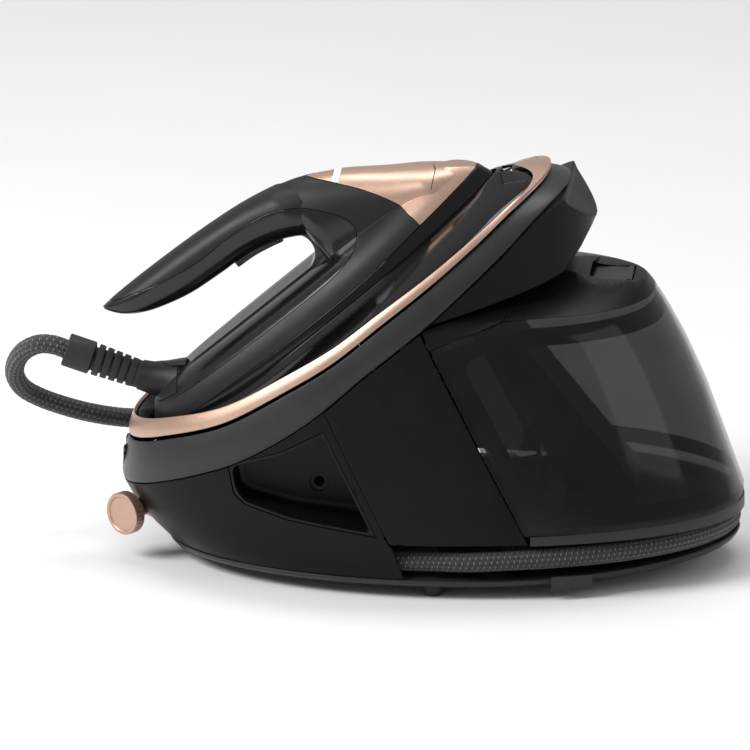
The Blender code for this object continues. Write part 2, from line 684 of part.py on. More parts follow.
def make_tank():
    lean = 1.0
    face = [(tank_edge(181.6) + lean, 181.6), (tank_edge(45) + lean, 45)]
    lid_line = list(GRIP_BOTTOM)
    cap_outline = [face[0], *TANK_TOP_EDGE, (240, 195.5), (240, 187), *lid_line]
    shell_outline = [(lid_line[-1][0], lid_line[-1][1] - GAP)]
    shell_outline += [(x, z - GAP) for x, z in reversed(lid_line[:-1])] + [(240, 186.7), (240, 45), face[1]]
    tank = skin("tank_shell", tank_rings(0))
    combine(tank, prism("keep", shell_outline, -140, 140), "INTERSECT")
    inner = skin("inner", [[(x, y, max(z, 48)) for x, y, z in ring] for ring in tank_rings(-2.6)])
    upper, lower = tank_edge(186) + 4, tank_edge(40) + 4
    inner_front = [(upper, 186), (upper, 230), (240, 230), (240, 40), (lower, 40)]
    combine(inner, prism("front", inner_front, -140, 140), "INTERSECT")
    combine(tank, inner)
    aim = draw_direction()
    combine(tank, rod("valve_hole", 6.3, VALVE_AT - aim * 12, VALVE_AT + aim * 14, 20))
    finish_part(tank, "tank_shell", "smoke")
    cap = skin("tank_top", tank_rings(0))
    combine(cap, prism("keep", cap_outline, -140, 140), "INTERSECT")
    x, y, z = LID_HINGE
    combine(cap, block("fill_mouth", (x - 28, -17, 150), (x + 1.2, 17, 230)))
    finish_part(cap, "tank_top", "matte_black")
    column = prism("tank_column", [(52, 164), (66, 172), (158, 58), (158, 51), (112, 51)], -30, 30)
    finish_part(column, "tank_column", "matte_black")
    profile = [(0, 12), (4, 12), (4, 6), (9, 5), (9, 3.4), (6, 3.4), (6, -18), (3, -20), (0, -20)]
    valve = turned("tank_valve", profile, VALVE_AT + aim * 2, aim, 20)
    finish_part(valve, "tank_valve", "rubber")
    lid = block("fill_lid", (x - 27.6, -16.6, z - 2.6), (x - 2.4, 16.6, z + 0.6))
    combine(lid, rod("knuckle", 2.6, (x - 1.9, -16.6, z - 1.2), (x - 1.9, 16.6, z - 1.2), 16), "UNION")
    combine(lid, rod("pin_hole", 1.3, (x - 1.9, -20, z - 1.2), (x - 1.9, 20, z - 1.2), 16))
    finish_part(lid, "fill_lid", "matte_black")
    pin = rod("lid_pin", 1.0, (x - 1.9, -16.8, z - 1.2), (x - 1.9, 16.8, z - 1.2), 12)
    finish_part(pin, "lid_pin", "steel")
    joint_frame("tank_slide_frame", VALVE_AT, [tank, cap, column, valve, pin])
    joint_frame("fill_lid_axis", (x - 1.9, 0, z - 1.2), [lid])


# ---------------------------------------------------------------- iron

def handle_section(s, top, under, half):
    ring = []
    for k in range(24):
        angle = 2 * math.pi * k / 24
        y = half * power(math.cos(angle), 0.85)
        n = (top + under) / 2 + (top - under) / 2 * power(math.sin(angle), 0.8)
        ring.append((s, y, n))
    return ring


def hood_section(s):
    """Cross-section of the hood: wide at the body, narrow above, round on top."""
    base, top = 7.3, smooth_line(HANDLE_TOP, s)
    back = max(0.0, 1 - (s - COLUMN_FRONT) / COLUMN_DEPTH)
    rounding = math.sqrt(max(0.02, 1 - back**2))
    wide = max(1.0, iron_width(s) - 3) * rounding
    narrow = min(25.0 * rounding, wide * 0.85)
    half = []
    for k in range(13):
        t = k / 12
        flare = (wide - narrow) * max(0.0, 1 - t / 0.42) ** 2
        crown = math.sqrt(max(0.0, 1 - max(0.0, (t - 0.45) / 0.55) ** 2.2))
        half.append((narrow * crown + flare, base + (top - base) * t))
    return [(s, y, n) for y, n in half] + [(s, -y, n) for y, n in reversed(half[:-1])]


def loop_filler():
    """Wedge that rounds the closed end of the handle's loop."""
    at, height, radius = LOOP_ARC
    angles = [math.radians(-86 + 131 * k / 8) for k in range(9)]
    arc = [(at + radius * math.cos(a), height + radius * math.sin(a)) for a in angles]
    outline = [(at - 4, 26.4), *arc, (arc[-1][0] + 1.7, 61.3), (184.2, 61.3), (184.2, 26.4)]
    return prism("filler", outline, -10.3, 10.3)


BODY_LEVELS = [(SKIRT_N, 0.0), (4, 0.0), (9, -2.0), (17, -5.0), (24, -11.0), (28.5, -20.0), (30.5, -31.0)]


def make_iron_form():
    """The iron's whole outer form, in its own frame, to be sliced into its mouldings."""
    form = skin("iron_form", [iron_ring(inward, n) for n, inward in BODY_LEVELS])
    nose_line = [(s, smooth_line(HANDLE_TOP, s)) for s in (232, 243, 254, 265, 276, 286, 292, 297)]
    combine(form, prism("nose_cut", nose_line + [(320, 0), (320, 70), (232, 70)], -80, 80))
    stations = [172.2, 174.1, 177.9, 184.2, 193, 208, 220, 232, 246, 260, 274, 284, 291]
    hood = skin("hood", [hood_section(s) for s in stations], "flat")
    combine(form, loop_filler(), "UNION")
    halves = [(33.5, 3), (36, 6.5), (41, 10), (50, 13.5), (62, 15.5), (80, 17), (105, 17.5), (130, 18),
              (150, 19), (165, 20.5), (176, 22)]
    sections = [handle_section(s, smooth_line(HANDLE_TOP, s), smooth_line(HANDLE_UNDER, s), half)
                for s, half in halves]
    sections.append(handle_section(188.3, smooth_line(HANDLE_TOP, 188.3) - 3, 44, 20))
    combine(form, skin("handle", sections, "flat"), "UNION")
    return combine(form, hood, "UNION")


def make_neck():
    """Tapered outlet at the heel that carries the strain relief, in world axes."""
    stations = [(RELIEF_ROOT, 10.2), ((-170, 0, 117.5), 11.0), ((-161, 0, 116.5), 13.0),
                ((-150, 0, 114.0), 18.0)]
    rings = []
    for k, (centre, radius) in enumerate(stations):
        ahead = Vector(stations[min(k + 1, 3)][0]) - Vector(stations[max(k - 1, 0)][0])
        up = Vector((-ahead.z, 0, ahead.x)).normalized()
        across = Vector((0, radius, 0))
        rings.append([tuple(Vector(centre) + up * radius * math.sin(a) + across * math.cos(a))
                      for a in (2 * math.pi * i / 24 for i in range(24))])
    return skin("neck", rings)


def slice_of(form, name, outline, half=80):
    piece = copy_of(form, name)
    return combine(piece, prism("outline", outline, -half, half), "INTERSECT")


def make_iron():
    form = make_iron_form()
    neck = make_neck()
    neck.data.transform(IRON_FRAME.inverted())
    combine(form, neck, "UNION")
    edge = SKIRT_EDGE
    skirt = slice_of(form, "iron_skirt", [(-5, -6), (305, -6)] + edge[::-1] + [(-5, 12)])
    cavity = skin("cavity", [iron_ring(-9, -8), iron_ring(-9, 6), iron_ring(-13, 12), iron_ring(-24, 20),
                             iron_ring(-40, 25)])
    combine(skirt, cavity, keep=True)
    lower = [(s, n + GAP) for s, n in edge]
    body_outline = lower[:-2] + [(243.6, 12.0), (242.0, 20), (237.6, 30.7), (52, 30.7), (46, 33), (36, 45),
                                 (26, 62), (-40, 62), (-40, 20)]
    body = slice_of(form, "iron_body", body_outline)
    combine(body, cavity)
    hood_line = [(s + 0.3, n + 0.3) for s, n in HOOD_EDGE]
    hood = slice_of(form, "copper_hood", hood_line[::-1] + [(197.3, 110), (310, 110), (310, 15), (300, 14.4),
                                                            (245, 12.0)])
    strip_outline = [(211.6, 68.6), (214.6, 65.2), (224.6, 72), (224.6, 92), (218.4, 92), (218.4, 73.4)]
    strip = slice_of(hood, "light_strip", inset(strip_outline, GAP))
    combine(hood, prism("strip_space", strip_outline, -80, 80))
    grip_line = [(s, n + GAP) for s, n in TWO_TONE]
    shell = slice_of(form, "handle_shell", grip_line + [(206, 31.0), (237.4, 31.0), (236, 36)]
                     + HOOD_EDGE[2::-1] + [(197, 120), (20, 120), (20, 97.4)])
    liner = slice_of(form, "handle_liner", [(20, 97)] + TWO_TONE[:-1] + [(205.7, 31.0), (60, 31.0),
                                                                         (60, 60), (20, 90)])
    chamber = block("switch_chamber", (104, -8, 69), (160, 8, 88))
    combine(shell, chamber, keep=True)
    combine(liner, chamber)
    combine(liner, block("trigger_slot", (118, -8.6, 50), (161.3, 8.6, 75)))
    parts = {"iron_skirt": (skirt, "gloss_black"), "iron_body": (body, "matte_black"),
             "copper_hood": (hood, "copper"), "light_strip": (strip, "white"),
             "handle_shell": (shell, "matte_black"), "handle_liner": (liner, "gloss_black")}
    for name, (piece, material) in parts.items():
        finish_part(on_platform(piece), name, material)
    bpy.data.objects.remove(form, do_unlink=True)
    made = [piece for piece, _ in parts.values()]
    sole = on_platform(skin("soleplate", [iron_ring(-4, SOLE_N), iron_ring(-1.5, SOLE_N + 1),
                                          iron_ring(-1.5, SKIRT_N - GAP)]))
    made.append(finish_part(sole, "soleplate", "steel"))
    casting = skin("steam_block", [iron_ring(-14, SKIRT_N), iron_ring(-14, 6), iron_ring(-22, 11)])
    combine(casting, block("heel_end", (10, -60, -10), (40, 60, 40)))
    made.append(finish_part(on_platform(casting), "steam_block", "aluminium"))
    trigger = prism("steam_trigger", [(123, 60.6), (136, 60), (150, 57.6), (158, 55.6), (160.5, 58.6),
                                      (158, 64), (123, 67)], -8, 8)
    combine(trigger, rod("pivot_bore", 1.4, (156, -20, 59.5), (156, 20, 59.5), 12))
    trigger = finish_part(on_platform(trigger), "steam_trigger", "gloss_black")
    pin = on_platform(rod("trigger_pin", 1.1, (156, -8.3, 59.5), (156, 8.3, 59.5), 12))
    made.append(finish_part(pin, "trigger_pin", "steel"))
    relief_profile = [(0, 51.2), (11.3, 51.2), (11.3, 34)]
    for k in range(5):
        top = 33.2 - 6 * k
        outer = 10.9 - 0.25 * k
        relief_profile += [(8.2, top), (8.2, top - 1.6), (outer, top - 1.6), (outer - 0.2, top - 6)]
    relief_profile += [(9.4, 3.4), (9.4, 1.6), (0, 1.6)]
    axis = Vector(RELIEF_END) - Vector(RELIEF_ROOT)
    relief = turned("strain_relief", relief_profile, RELIEF_ROOT, axis, 16)
    made.append(finish_part(relief, "strain_relief", "rubber"))
    joint_frame("iron_lift_frame", platform_point(150, 0, SOLE_N), made)
    joint_frame("steam_trigger_axis", platform_point(156, 0, 59.5), [trigger])


def make_pads():
    for name, s, y, w in (("rest_pad_heel", 34, 0, 20), ("rest_pad_near", 150, -34, 8),
                          ("rest_pad_far", 150, 34, 8)):
        half = 6 if name.endswith("heel") else 30
        pad = block(name, (s - half, y - w, PAD_N), (s + half, y + w, SOLE_N - GAP))
        finish_part(on_platform(pad), name, "rubber")


# ---------------------------------------------------------------- steam hose

def oval_arc(centre, a, b, z_of, start, stop, count):
    """Route points round a plan oval, angles in degrees from +X towards +Y."""
    points = []
    for k in range(count):
        angle = math.radians(start + (stop - start) * k / (count - 1))
        x = centre + a * math.cos(angle)
        points.append((x, b * math.sin(angle), z_of(x)))
    return points


def groove_height(x):
    return 26.4 + 0.0145 * max(0.0, x - 40)


def hose_route():
    aim = (Vector(RELIEF_END) - Vector(RELIEF_ROOT)).normalized()
    start = Vector(RELIEF_END) + aim * 1.0
    free = [start, start + aim * 10, *LOOP, (-175, 82, 65), (-148, 100, 58), (-118, 114, 50),
            (-84, 125, 41.5), (-46, 131, 35), (-6, 131.5, 30), (28, 127, 27.4)]
    outer = oval_arc(32, 188, 118, groove_height, 74, -76, 20)
    under = [(50, -117, 26), (24, -112.5, 25), (-6, -107.5, 23.4), (-38, -101.5, 21.8)]
    front = oval_arc(8, 155, 104, lambda x: 21.3, 248, 112, 14)
    inner = oval_arc(32, 174, 103.6, groove_height, 92, -72, 20)
    return free + outer + under + front + inner + [(80, -100.3, 26.4), (73.8, -100.5, 26.4)]


def make_hose():
    route = smooth_route(hose_route(), 12.5)
    route = route[:HOSE_FINE] + route[HOSE_FINE:-1:2] + route[-1:]
    upper, travelled, cut = [route[0]], 0.0, 0
    while travelled < HOSE_SPLIT / MM:
        travelled += (route[cut + 1] - route[cut]).length
        cut += 1
        upper.append(route[cut])
    onward = (upper[-1] - upper[-2]).normalized()
    lower = [upper[-1] + onward * GAP, upper[-1] + onward * 5] + route[cut + 1:]
    iron_end = finish_part(tube("hose_iron_end", upper, HOSE_D / 2), "hose_iron_end", "braid")
    finish_part(tube("hose_base_side", lower, HOSE_D / 2), "hose_base_side", "braid")
    joint_frame("hose_frame", upper[0], [iron_end])


def main():
    make_base_plate()
    make_feet()
    make_hull()
    make_cord_pocket()
    make_shelf()
    make_upper_shell()
    make_rear_block()
    make_hose_clip()
    make_platform()
    make_pads()
    make_lock()
    make_buttons()
    make_descaler()
    make_boiler()
    make_pump()
    make_water_path()
    make_tank()
    make_iron()
    make_hose()


main()
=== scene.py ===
"""Looks of the steam generator iron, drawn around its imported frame.

Helper functions take millimetres and write metres, in the frame's own axes: +X runs to the
water tank, +Z is up. The iron is drawn in its own frame (s along the soleplate, y across,
n out of the plate), which IRON_FRAME lays on the sloping platform.
"""
import math

import bmesh
import bpy
import numpy as np
from mathutils import Matrix, Vector


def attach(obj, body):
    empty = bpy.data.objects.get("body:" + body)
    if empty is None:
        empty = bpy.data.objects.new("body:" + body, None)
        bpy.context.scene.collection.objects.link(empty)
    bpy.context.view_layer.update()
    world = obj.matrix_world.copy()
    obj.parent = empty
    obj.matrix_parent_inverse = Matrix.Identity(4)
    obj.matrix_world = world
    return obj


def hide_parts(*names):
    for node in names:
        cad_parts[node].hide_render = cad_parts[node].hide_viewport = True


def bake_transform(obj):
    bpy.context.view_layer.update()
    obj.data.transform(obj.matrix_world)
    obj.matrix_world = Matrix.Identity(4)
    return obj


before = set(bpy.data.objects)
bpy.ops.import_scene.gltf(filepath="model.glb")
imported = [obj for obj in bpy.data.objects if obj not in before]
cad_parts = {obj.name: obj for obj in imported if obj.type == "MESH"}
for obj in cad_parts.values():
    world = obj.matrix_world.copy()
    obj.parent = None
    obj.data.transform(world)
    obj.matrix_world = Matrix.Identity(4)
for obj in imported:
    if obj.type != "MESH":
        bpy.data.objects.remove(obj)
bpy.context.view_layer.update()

MM = 0.001
GAP = 0.3
WALL = 2.5
RING = 240        # points around each plan ring
TURN = 72         # steps of each turned piece

BASE_X, BASE_A, BASE_B = 34.0, 192.0, 122.0
RIM_Z, RIM_T = 9.0, 5.0
SHELF_X, SHELF_A, SHELF_B = 22.0, 207.0, 124.0
SHELF_Z, SHELF_TOP = 38.0, 44.5
CHINE_X, CHINE_A, CHINE_B, CHINE_N = -38.0, 150.0, 111.0, 2.1
TRIM_X, TRIM_A, TRIM_B = -43.0, 141.5, 109.0
CHINE_LINE = [(-190, 50), (-158, 64), (-133, 74.5), (-107, 86), (-74, 106), (-46, 127), (-19, 151),
              (18, 181), (70, 228), (97, 252.5), (114, 264)]
TRIM_LINE = [(-188, 79), (-157, 94), (-114, 112.5), (-73, 138), (-41, 159), (-9, 185), (23, 210),
             (54.5, 236), (76, 254), (100, 270)]
TRIM_LIFT = 1.3
BAND_LINE = [(-188, 12), (-120, 10.5), (-40, 9.5), (23, 7), (76, 4), (100, 2)]

TILT = math.radians(40)
IRON_ORIGIN = (-166.0, 0.0, 72.0)
LOCK_HALF = 25.0
TRAY_N, PAD_N, SOLE_N, SKIRT_N = -13.2, -12.9, -9.0, -4.7
IRON_HEEL, IRON_NOSE, IRON_HALF = 7.0, 297.0, 59.0
NOSE_TAPER = 0.36
HANDLE_TOP = [(33, 96), (52, 96.7), (87, 96.4), (121, 95), (153, 92), (183, 85.8), (197, 80.6),
              (209, 74.3), (221, 67.5), (243, 51.6), (265, 36.4), (286, 20), (292, 13.9), (297, 8)]
HANDLE_UNDER = [(33, 93), (41, 83.6), (54, 75.3), (70, 69.8), (87, 66.1), (106, 64.5), (135, 62.8),
                (146, 60.7), (156, 57.6), (166, 53), (176, 47)]
COLUMN_FRONT, COLUMN_DEPTH = 172.5, 14.0
LOOP_ARC = (160.0, 45.3, 13.7)
LINER_EDGE = [(37, 96.9), (77, 87), (105, 82.5), (139, 82.5), (162, 80), (177, 74), (190, 64), (202, 50),
              (206, 40), (204.5, 32), (197, 26), (184, 23.2), (160, 22), (100, 21.8), (45, 22), (22, 24.5)]
HOOD_EDGE = [(197, 80.4), (208, 71), (224, 54), (236, 36), (242.5, 20), (244, 12)]
SKIRT_EDGE = [(0, 12), (20, 9.5), (62, 8.5), (190, 8.5), (244, 11.5), (300, 14)]
HANDLE_HALF = [(33, 2.6), (34, 4), (36, 6.5), (41, 10), (50, 13.5), (62, 15.5), (80, 17), (105, 17.5),
               (130, 18), (150, 19), (165, 20.5), (176, 22)]

TANK_LINE = [(18, 181), (92, 38)]
TANK_TILT = math.radians(14)
TANK_LEVELS = [(45.2, 206, 123), (50, 206.5, 123.5), (88, 193, 119), (120, 181.5, 114.5),
               (151, 167.5, 110.5), (172, 156, 106), (181, 150.5, 102), (187, 147, 93), (193, 143, 77),
               (198, 139, 52), (202, 134, 26), (205, 130, 9)]
TANK_TOP_EDGE = [(97, 203.6), (118, 202), (129, 198.6), (141, 197), (152, 197.2), (163, 195.5)]
GRIP_BOTTOM = [(160, 187), (100, 187), (74, 187), (44, 177.5), (24.8, 170)]
LID_HINGE = (154.0, 0.0, 196.0)
VALVE_AT = Vector((86.0, 0.0, 62.0))

HOSE_D = 13.1
RELIEF_ROOT, RELIEF_END = (-177.5, 0.0, 119.4), (-225.45, 0.0, 135.4)
LOOP = [(-246, 2, 138.5), (-256, 8, 132), (-262, 16, 122), (-263.5, 25, 110.5), (-259, 33, 99.5),
        (-249, 39, 91.5), (-234, 44, 84.5), (-216, 49, 78.3), (-196, 62, 71.5)]
BUTTON_X, BUTTON_Z = -187.6, 68.0
KNOB_ROOT, KNOB_DIR = (-163.0, -9.0, 34.0), (-0.66, -0.75, -0.05)

HULL_OUTLINE = [(-260, 5), (12, 5), (-1, 38.6), (91.5, 38.6), (17.4, 181.8), (17.4, 240), (-260, 240)]
PANEL_OUTLINE = [(-46.6, 128), (-1.6, 38.9), (91.2, 38.9), (17.1, 181.8), (17.1, 240), (-46.6, 240)]
POCKET_OUTLINE = [(-112, 86), (-108, 66), (-100, 59), (-70, 51), (-10, 43), (-46, 114), (-76, 98)]
HULL_LEVELS = [(0.0, 0.0), (0.1, 1.5), (0.28, 3.0), (0.42, 3.4), (0.55, 3.5), (0.68, 2.9), (0.8, 2.0),
               (1.0, 0.0)]
BODY_LEVELS = [(SKIRT_N, 0.0), (4, 0.0), (9, -2.0), (13, -3.3), (17, -5.0), (20.5, -7.5), (24, -11.0),
               (26.5, -15.0), (28.5, -20.0), (29.8, -25.0), (30.5, -31.0)]
IRON_FRAME = (Matrix.Translation(Vector(IRON_ORIGIN) * MM) @ Matrix.Rotation(-TILT, 4, "Y"))


# ---------------------------------------------------------------- shapes

def new_object(name, mesh):
    made = bpy.data.objects.new(name, mesh)
    bpy.context.scene.collection.objects.link(made)
    return made


def smooth_line(points, at):
    """Height of a smooth curve through points at one abscissa."""
    if at <= points[0][0]:
        return points[0][1]
    if at >= points[-1][0]:
        return points[-1][1]
    i = next(k for k in range(len(points) - 1) if at <= points[k + 1][0])
    slopes = []
    for k in (i, i + 1):
        before, after = points[max(k - 1, 0)], points[min(k + 1, len(points) - 1)]
        slopes.append((after[1] - before[1]) / (after[0] - before[0]))
    (x0, y0), (x1, y1) = points[i], points[i + 1]
    step = x1 - x0
    t = (at - x0) / step
    return ((2 * t**3 - 3 * t**2 + 1) * y0 + (t**3 - 2 * t**2 + t) * step * slopes[0]
            + (3 * t**2 - 2 * t**3) * y1 + (t**3 - t**2) * step * slopes[1])


def power(value, exponent):
    return math.copysign(abs(value) ** exponent, value)


def plan_ring(centre, a, b, height, n=2.0, count=RING):
    """Closed plan oval; height is a number or a function of x."""
    ring = []
    for k in range(count):
        angle = 2 * math.pi * k / count
        x = centre + a * power(math.cos(angle), 2 / n)
        y = b * power(math.sin(angle), 2 / n)
        ring.append((x, y, height(x) if callable(height) else height))
    return ring


def grow(ring, amount):
    """Ring moved outwards in plan, along its own normals."""
    grown = []
    for k, (x, y, z) in enumerate(ring):
        ahead, behind = ring[(k + 1) % len(ring)], ring[k - 1]
        run = Vector((ahead[0] - behind[0], ahead[1] - behind[1]))
        normal = Vector((run.y, -run.x)).normalized()
        grown.append((x + amount * normal.x, y + amount * normal.y, z))
    return grown


def blend_rings(low, high, t, bulge=0.0):
    mixed = [tuple(p + (q - p) * t for p, q in zip(a, b)) for a, b in zip(low, high)]
    return grow(mixed, bulge)


def mend(mesh, weld=0.0, shortest=0.0):
    """Turn the faces outwards, after joining points and dropping slivers below two lengths."""
    work = bmesh.new()
    work.from_mesh(mesh)
    if weld:
        bmesh.ops.remove_doubles(work, verts=work.verts, dist=weld)
    if shortest:
        bmesh.ops.dissolve_degenerate(work, edges=work.edges, dist=shortest)
    bmesh.ops.recalc_face_normals(work, faces=work.faces)
    work.to_mesh(mesh)
    work.free()
    return mesh


def to_mesh(name, vertices, faces):
    mesh = bpy.data.meshes.new(name)
    mesh.from_pydata([Vector(v) * MM for v in vertices], [], faces)
    return mend(mesh)


def skin(name, rings, ends="fan"):
    """Surface over rings of equal count; its ends are a fan, one flat face, or open."""
    count = len(rings[0])
    vertices = [point for ring in rings for point in ring]
    faces = []
    for r in range(len(rings) - 1):
        for k in range(count):
            j = (k + 1) % count
            faces.append((r * count + k, r * count + j, (r + 1) * count + j, (r + 1) * count + k))
    for start in (0, (len(rings) - 1) * count):
        if ends == "flat":
            faces.append(tuple(range(start, start + count)))
        elif ends == "fan":
            middle = [sum(v[i] for v in vertices[start:start + count]) / count for i in range(3)]
            vertices.append(middle)
            hub = len(vertices) - 1
            faces += [(start + k, start + (k + 1) % count, hub) for k in range(count)]
    return new_object(name, to_mesh(name, vertices, faces))


def prism(name, outline, low, high, across="y"):
    """Outline of (x, z) pairs carried along y, or of (x, y) pairs carried along z."""
    if across == "y":
        rings = [[(x, side, z) for x, z in outline] for side in (low, high)]
    else:
        rings = [[(x, y, side) for x, y in outline] for side in (low, high)]
    count = len(outline)
    faces = [tuple(range(count)), tuple(range(2 * count - 1, count - 1, -1))]
    faces += [(k, (k + 1) % count, count + (k + 1) % count, count + k) for k in range(count)]
    return new_object(name, to_mesh(name, rings[0] + rings[1], faces))


def block(name, low, high):
    outline = [(low[0], low[2]), (high[0], low[2]), (high[0], high[2]), (low[0], high[2])]
    return prism(name, outline, low[1], high[1])


def bake(item):
    """Replace an object's mesh by the evaluated one, so later steps see a plain mesh."""
    bpy.context.view_layer.update()
    graph = bpy.context.evaluated_depsgraph_get()
    mesh = bpy.data.meshes.new_from_object(item.evaluated_get(graph))
    item.modifiers.clear()
    item.data = mesh
    return item


def combine(target, other, operation="DIFFERENCE", keep=False):
    modifier = target.modifiers.new("combine", "BOOLEAN")
    modifier.operation = operation
    modifier.object = other
    modifier.solver = "MANIFOLD"
    bake(target)
    if not keep:
        bpy.data.objects.remove(other, do_unlink=True)
    return target


def keep_inside(item, outline, low, high):
    """Only the part of a solid that lies inside an outline carried along y."""
    return combine(item, prism("keep", outline, low, high), "INTERSECT")


def thicken(surface, thickness):
    """Wall laid inwards from an open surface."""
    modifier = surface.modifiers.new("wall", "SOLIDIFY")
    modifier.thickness = thickness * MM
    modifier.offset = -1
    modifier.use_even_offset = True
    modifier.thickness_clamp = 0
    return bake(surface)


def copy_of(item, name):
    return new_object(name, item.data.copy())


def turned(name, profile, origin, direction, steps=24):
    """Profile of (radius, height) pairs, top to bottom down its outer side, spun about an axis."""
    mesh = bpy.data.meshes.new(name)
    vertices = [(r * MM, 0.0, h * MM) for r, h in profile]
    mesh.from_pydata(vertices, [(k, k + 1) for k in range(len(vertices) - 1)], [])
    made = new_object(name, mesh)
    screw = made.modifiers.new("turn", "SCREW")
    screw.steps = steps
    screw.render_steps = steps
    screw.use_merge_vertices = True
    screw.merge_threshold = 0.00001
    bake(made)
    aim = Vector(direction).normalized().to_track_quat("Z", "X").to_matrix().to_4x4()
    made.data.transform(Matrix.Translation(Vector(origin) * MM) @ aim)
    mend(made.data, weld=0.00001)
    return made


def rod(name, radius, start, end, steps=24):
    length = (Vector(end) - Vector(start)).length
    profile = [(0, length), (radius, length), (radius, 0), (0, 0)]
    return turned(name, profile, start, Vector(end) - Vector(start), steps)


def smooth_route(points, step):
    """Even points on a Catmull-Rom curve through route points, all in millimetres."""
    knots = [Vector(p) for p in points]
    knots = [2 * knots[0] - knots[1]] + knots + [2 * knots[-1] - knots[-2]]
    dense = []
    for k in range(1, len(knots) - 2):
        a, b, c, d = knots[k - 1:k + 3]
        for i in range(24):
            t = i / 24
            dense.append(0.5 * (2 * b + (c - a) * t + (2 * a - 5 * b + 4 * c - d) * t**2
                                + (3 * b - 3 * c + d - a) * t**3))
    dense.append(knots[-2])
    total = sum((q - p).length for p, q in zip(dense, dense[1:]))
    spacing = total / max(1, round(total / step))
    even, carried = [dense[0]], 0.0
    for p, q in zip(dense, dense[1:]):
        piece = (q - p).length
        while carried + piece >= spacing:
            p = p + (q - p) * ((spacing - carried) / piece)
            even.append(p)
            piece = (q - p).length
            carried = 0.0
        carried += piece
    if (even[-1] - dense[-1]).length < spacing * 0.5:
        even.pop()
    return even + [dense[-1]]


def rim_height(x):
    return RIM_Z + 0.0003 * max(0.0, x - 60) ** 2


def chine_height(x):
    return smooth_line(CHINE_LINE, x)


def trim_height(x):
    return smooth_line(TRIM_LINE, x)


def trim_top_height(x):
    return trim_height(x) + smooth_line(BAND_LINE, x)


def hull_rings(offset):
    return [blend_rings(BASE_RING, CHINE_RING, t, bulge + offset) for t, bulge in HULL_LEVELS]


def inset(outline, amount):
    """Outline shrunk towards its inside by a constant distance."""
    count = len(outline)
    area = sum(outline[k][0] * outline[(k + 1) % count][1] - outline[(k + 1) % count][0] * outline[k][1]
               for k in range(count))
    side = 1 if area > 0 else -1
    moved = []
    for k in range(count):
        a, b, c = (Vector(outline[(k + d) % count]) for d in (-1, 0, 1))
        n1 = Vector((-(b - a).y, (b - a).x)).normalized() * side
        n2 = Vector((-(c - b).y, (c - b).x)).normalized() * side
        bisector = (n1 + n2) / (1 + n1.dot(n2))
        moved.append(tuple(b + bisector * amount))
    return moved


def iron_width(s):
    """Half width of the iron's plan: an oval drawn in towards the nose."""
    along = min(1.0, max(-1.0, (2 * s - IRON_HEEL - IRON_NOSE) / (IRON_NOSE - IRON_HEEL)))
    return IRON_HALF * math.sqrt(1 - along**2) * (1 - NOSE_TAPER * along**3)


def iron_ring(outset, n, count=RING):
    """Plan of the iron in its own frame, grown by an amount on every side."""
    ring = []
    middle, half = (IRON_HEEL + IRON_NOSE) / 2, (IRON_NOSE - IRON_HEEL) / 2
    for k in range(count):
        angle = 2 * math.pi * k / count
        y = (IRON_HALF + outset) * math.sin(angle) * (1 - NOSE_TAPER * math.cos(angle) ** 3)
        ring.append((middle + (half + outset) * math.cos(angle), y, n))
    return ring


def on_platform(item):
    """Carry a solid from the iron's frame to the world."""
    item.data.transform(IRON_FRAME)
    return item


def platform_point(s, y, n):
    return tuple((IRON_FRAME @ (Vector((s, y, n)) * MM)) / MM)


def well_ring(outset, n):
    return [platform_point(*p) for p in iron_ring(outset, n)]


def lock_cutter(extra):
    half = LOCK_HALF + extra
    outline = [(303 - extra, -30), (303 - extra, 20), (350, 20), (350, -30)]
    space = prism("lock_space", outline, -half, half)
    return on_platform(combine(space, block("hook_space", (295, -6.6, -40), (306, 6.6, 30)), "UNION"))


def tank_rings(offset):
    return [plan_ring(SHELF_X, a + offset, b + offset, z, 2.25) for z, a, b in TANK_LEVELS]


def tank_edge(z):
    (x0, z0), (x1, z1) = TANK_LINE
    return x0 + (z0 - z) / (z0 - z1) * (x1 - x0)


def draw_direction():
    return Vector((math.cos(TANK_TILT), 0, math.sin(TANK_TILT)))


def knob_frame():
    """Where the knob's axis starts, and which way it points."""
    return Vector(KNOB_ROOT), Vector(KNOB_DIR).normalized()


def knob_bore(radius):
    origin, aim = knob_frame()
    return rod("knob_bore", radius, origin - aim * 4, origin + aim * 40, 24)


def oval_arc(centre, a, b, z_of, start, stop, count):
    """Route points round a plan oval, angles in degrees from +X towards +Y."""
    points = []
    for k in range(count):
        angle = math.radians(start + (stop - start) * k / (count - 1))
        x = centre + a * math.cos(angle)
        points.append((x, b * math.sin(angle), z_of(x)))
    return points


def groove_height(x):
    return 26.4 + 0.0145 * max(0.0, x - 40)


def hose_route():
    aim = (Vector(RELIEF_END) - Vector(RELIEF_ROOT)).normalized()
    start = Vector(RELIEF_END) + aim * 1.0
    free = [start, start + aim * 10, *LOOP, (-175, 82, 65), (-148, 100, 58), (-118, 114, 50),
            (-84, 125, 41.5), (-46, 131, 35), (-6, 131.5, 30), (28, 127, 27.4)]
    outer = oval_arc(32, 188, 118, groove_height, 74, -76, 20)
    under = [(50, -117, 26), (24, -112.5, 25), (-6, -107.5, 23.4), (-38, -101.5, 21.8)]
    front = oval_arc(8, 155, 104, lambda x: 21.3, 248, 112, 14)
    inner = oval_arc(32, 174, 103.6, groove_height, 92, -72, 20)
    return free + outer + under + front + inner + [(80, -100.3, 26.4), (73.8, -100.5, 26.4)]


def slice_of(form, name, outline):
    return keep_inside(copy_of(form, name), outline, -80, 80)


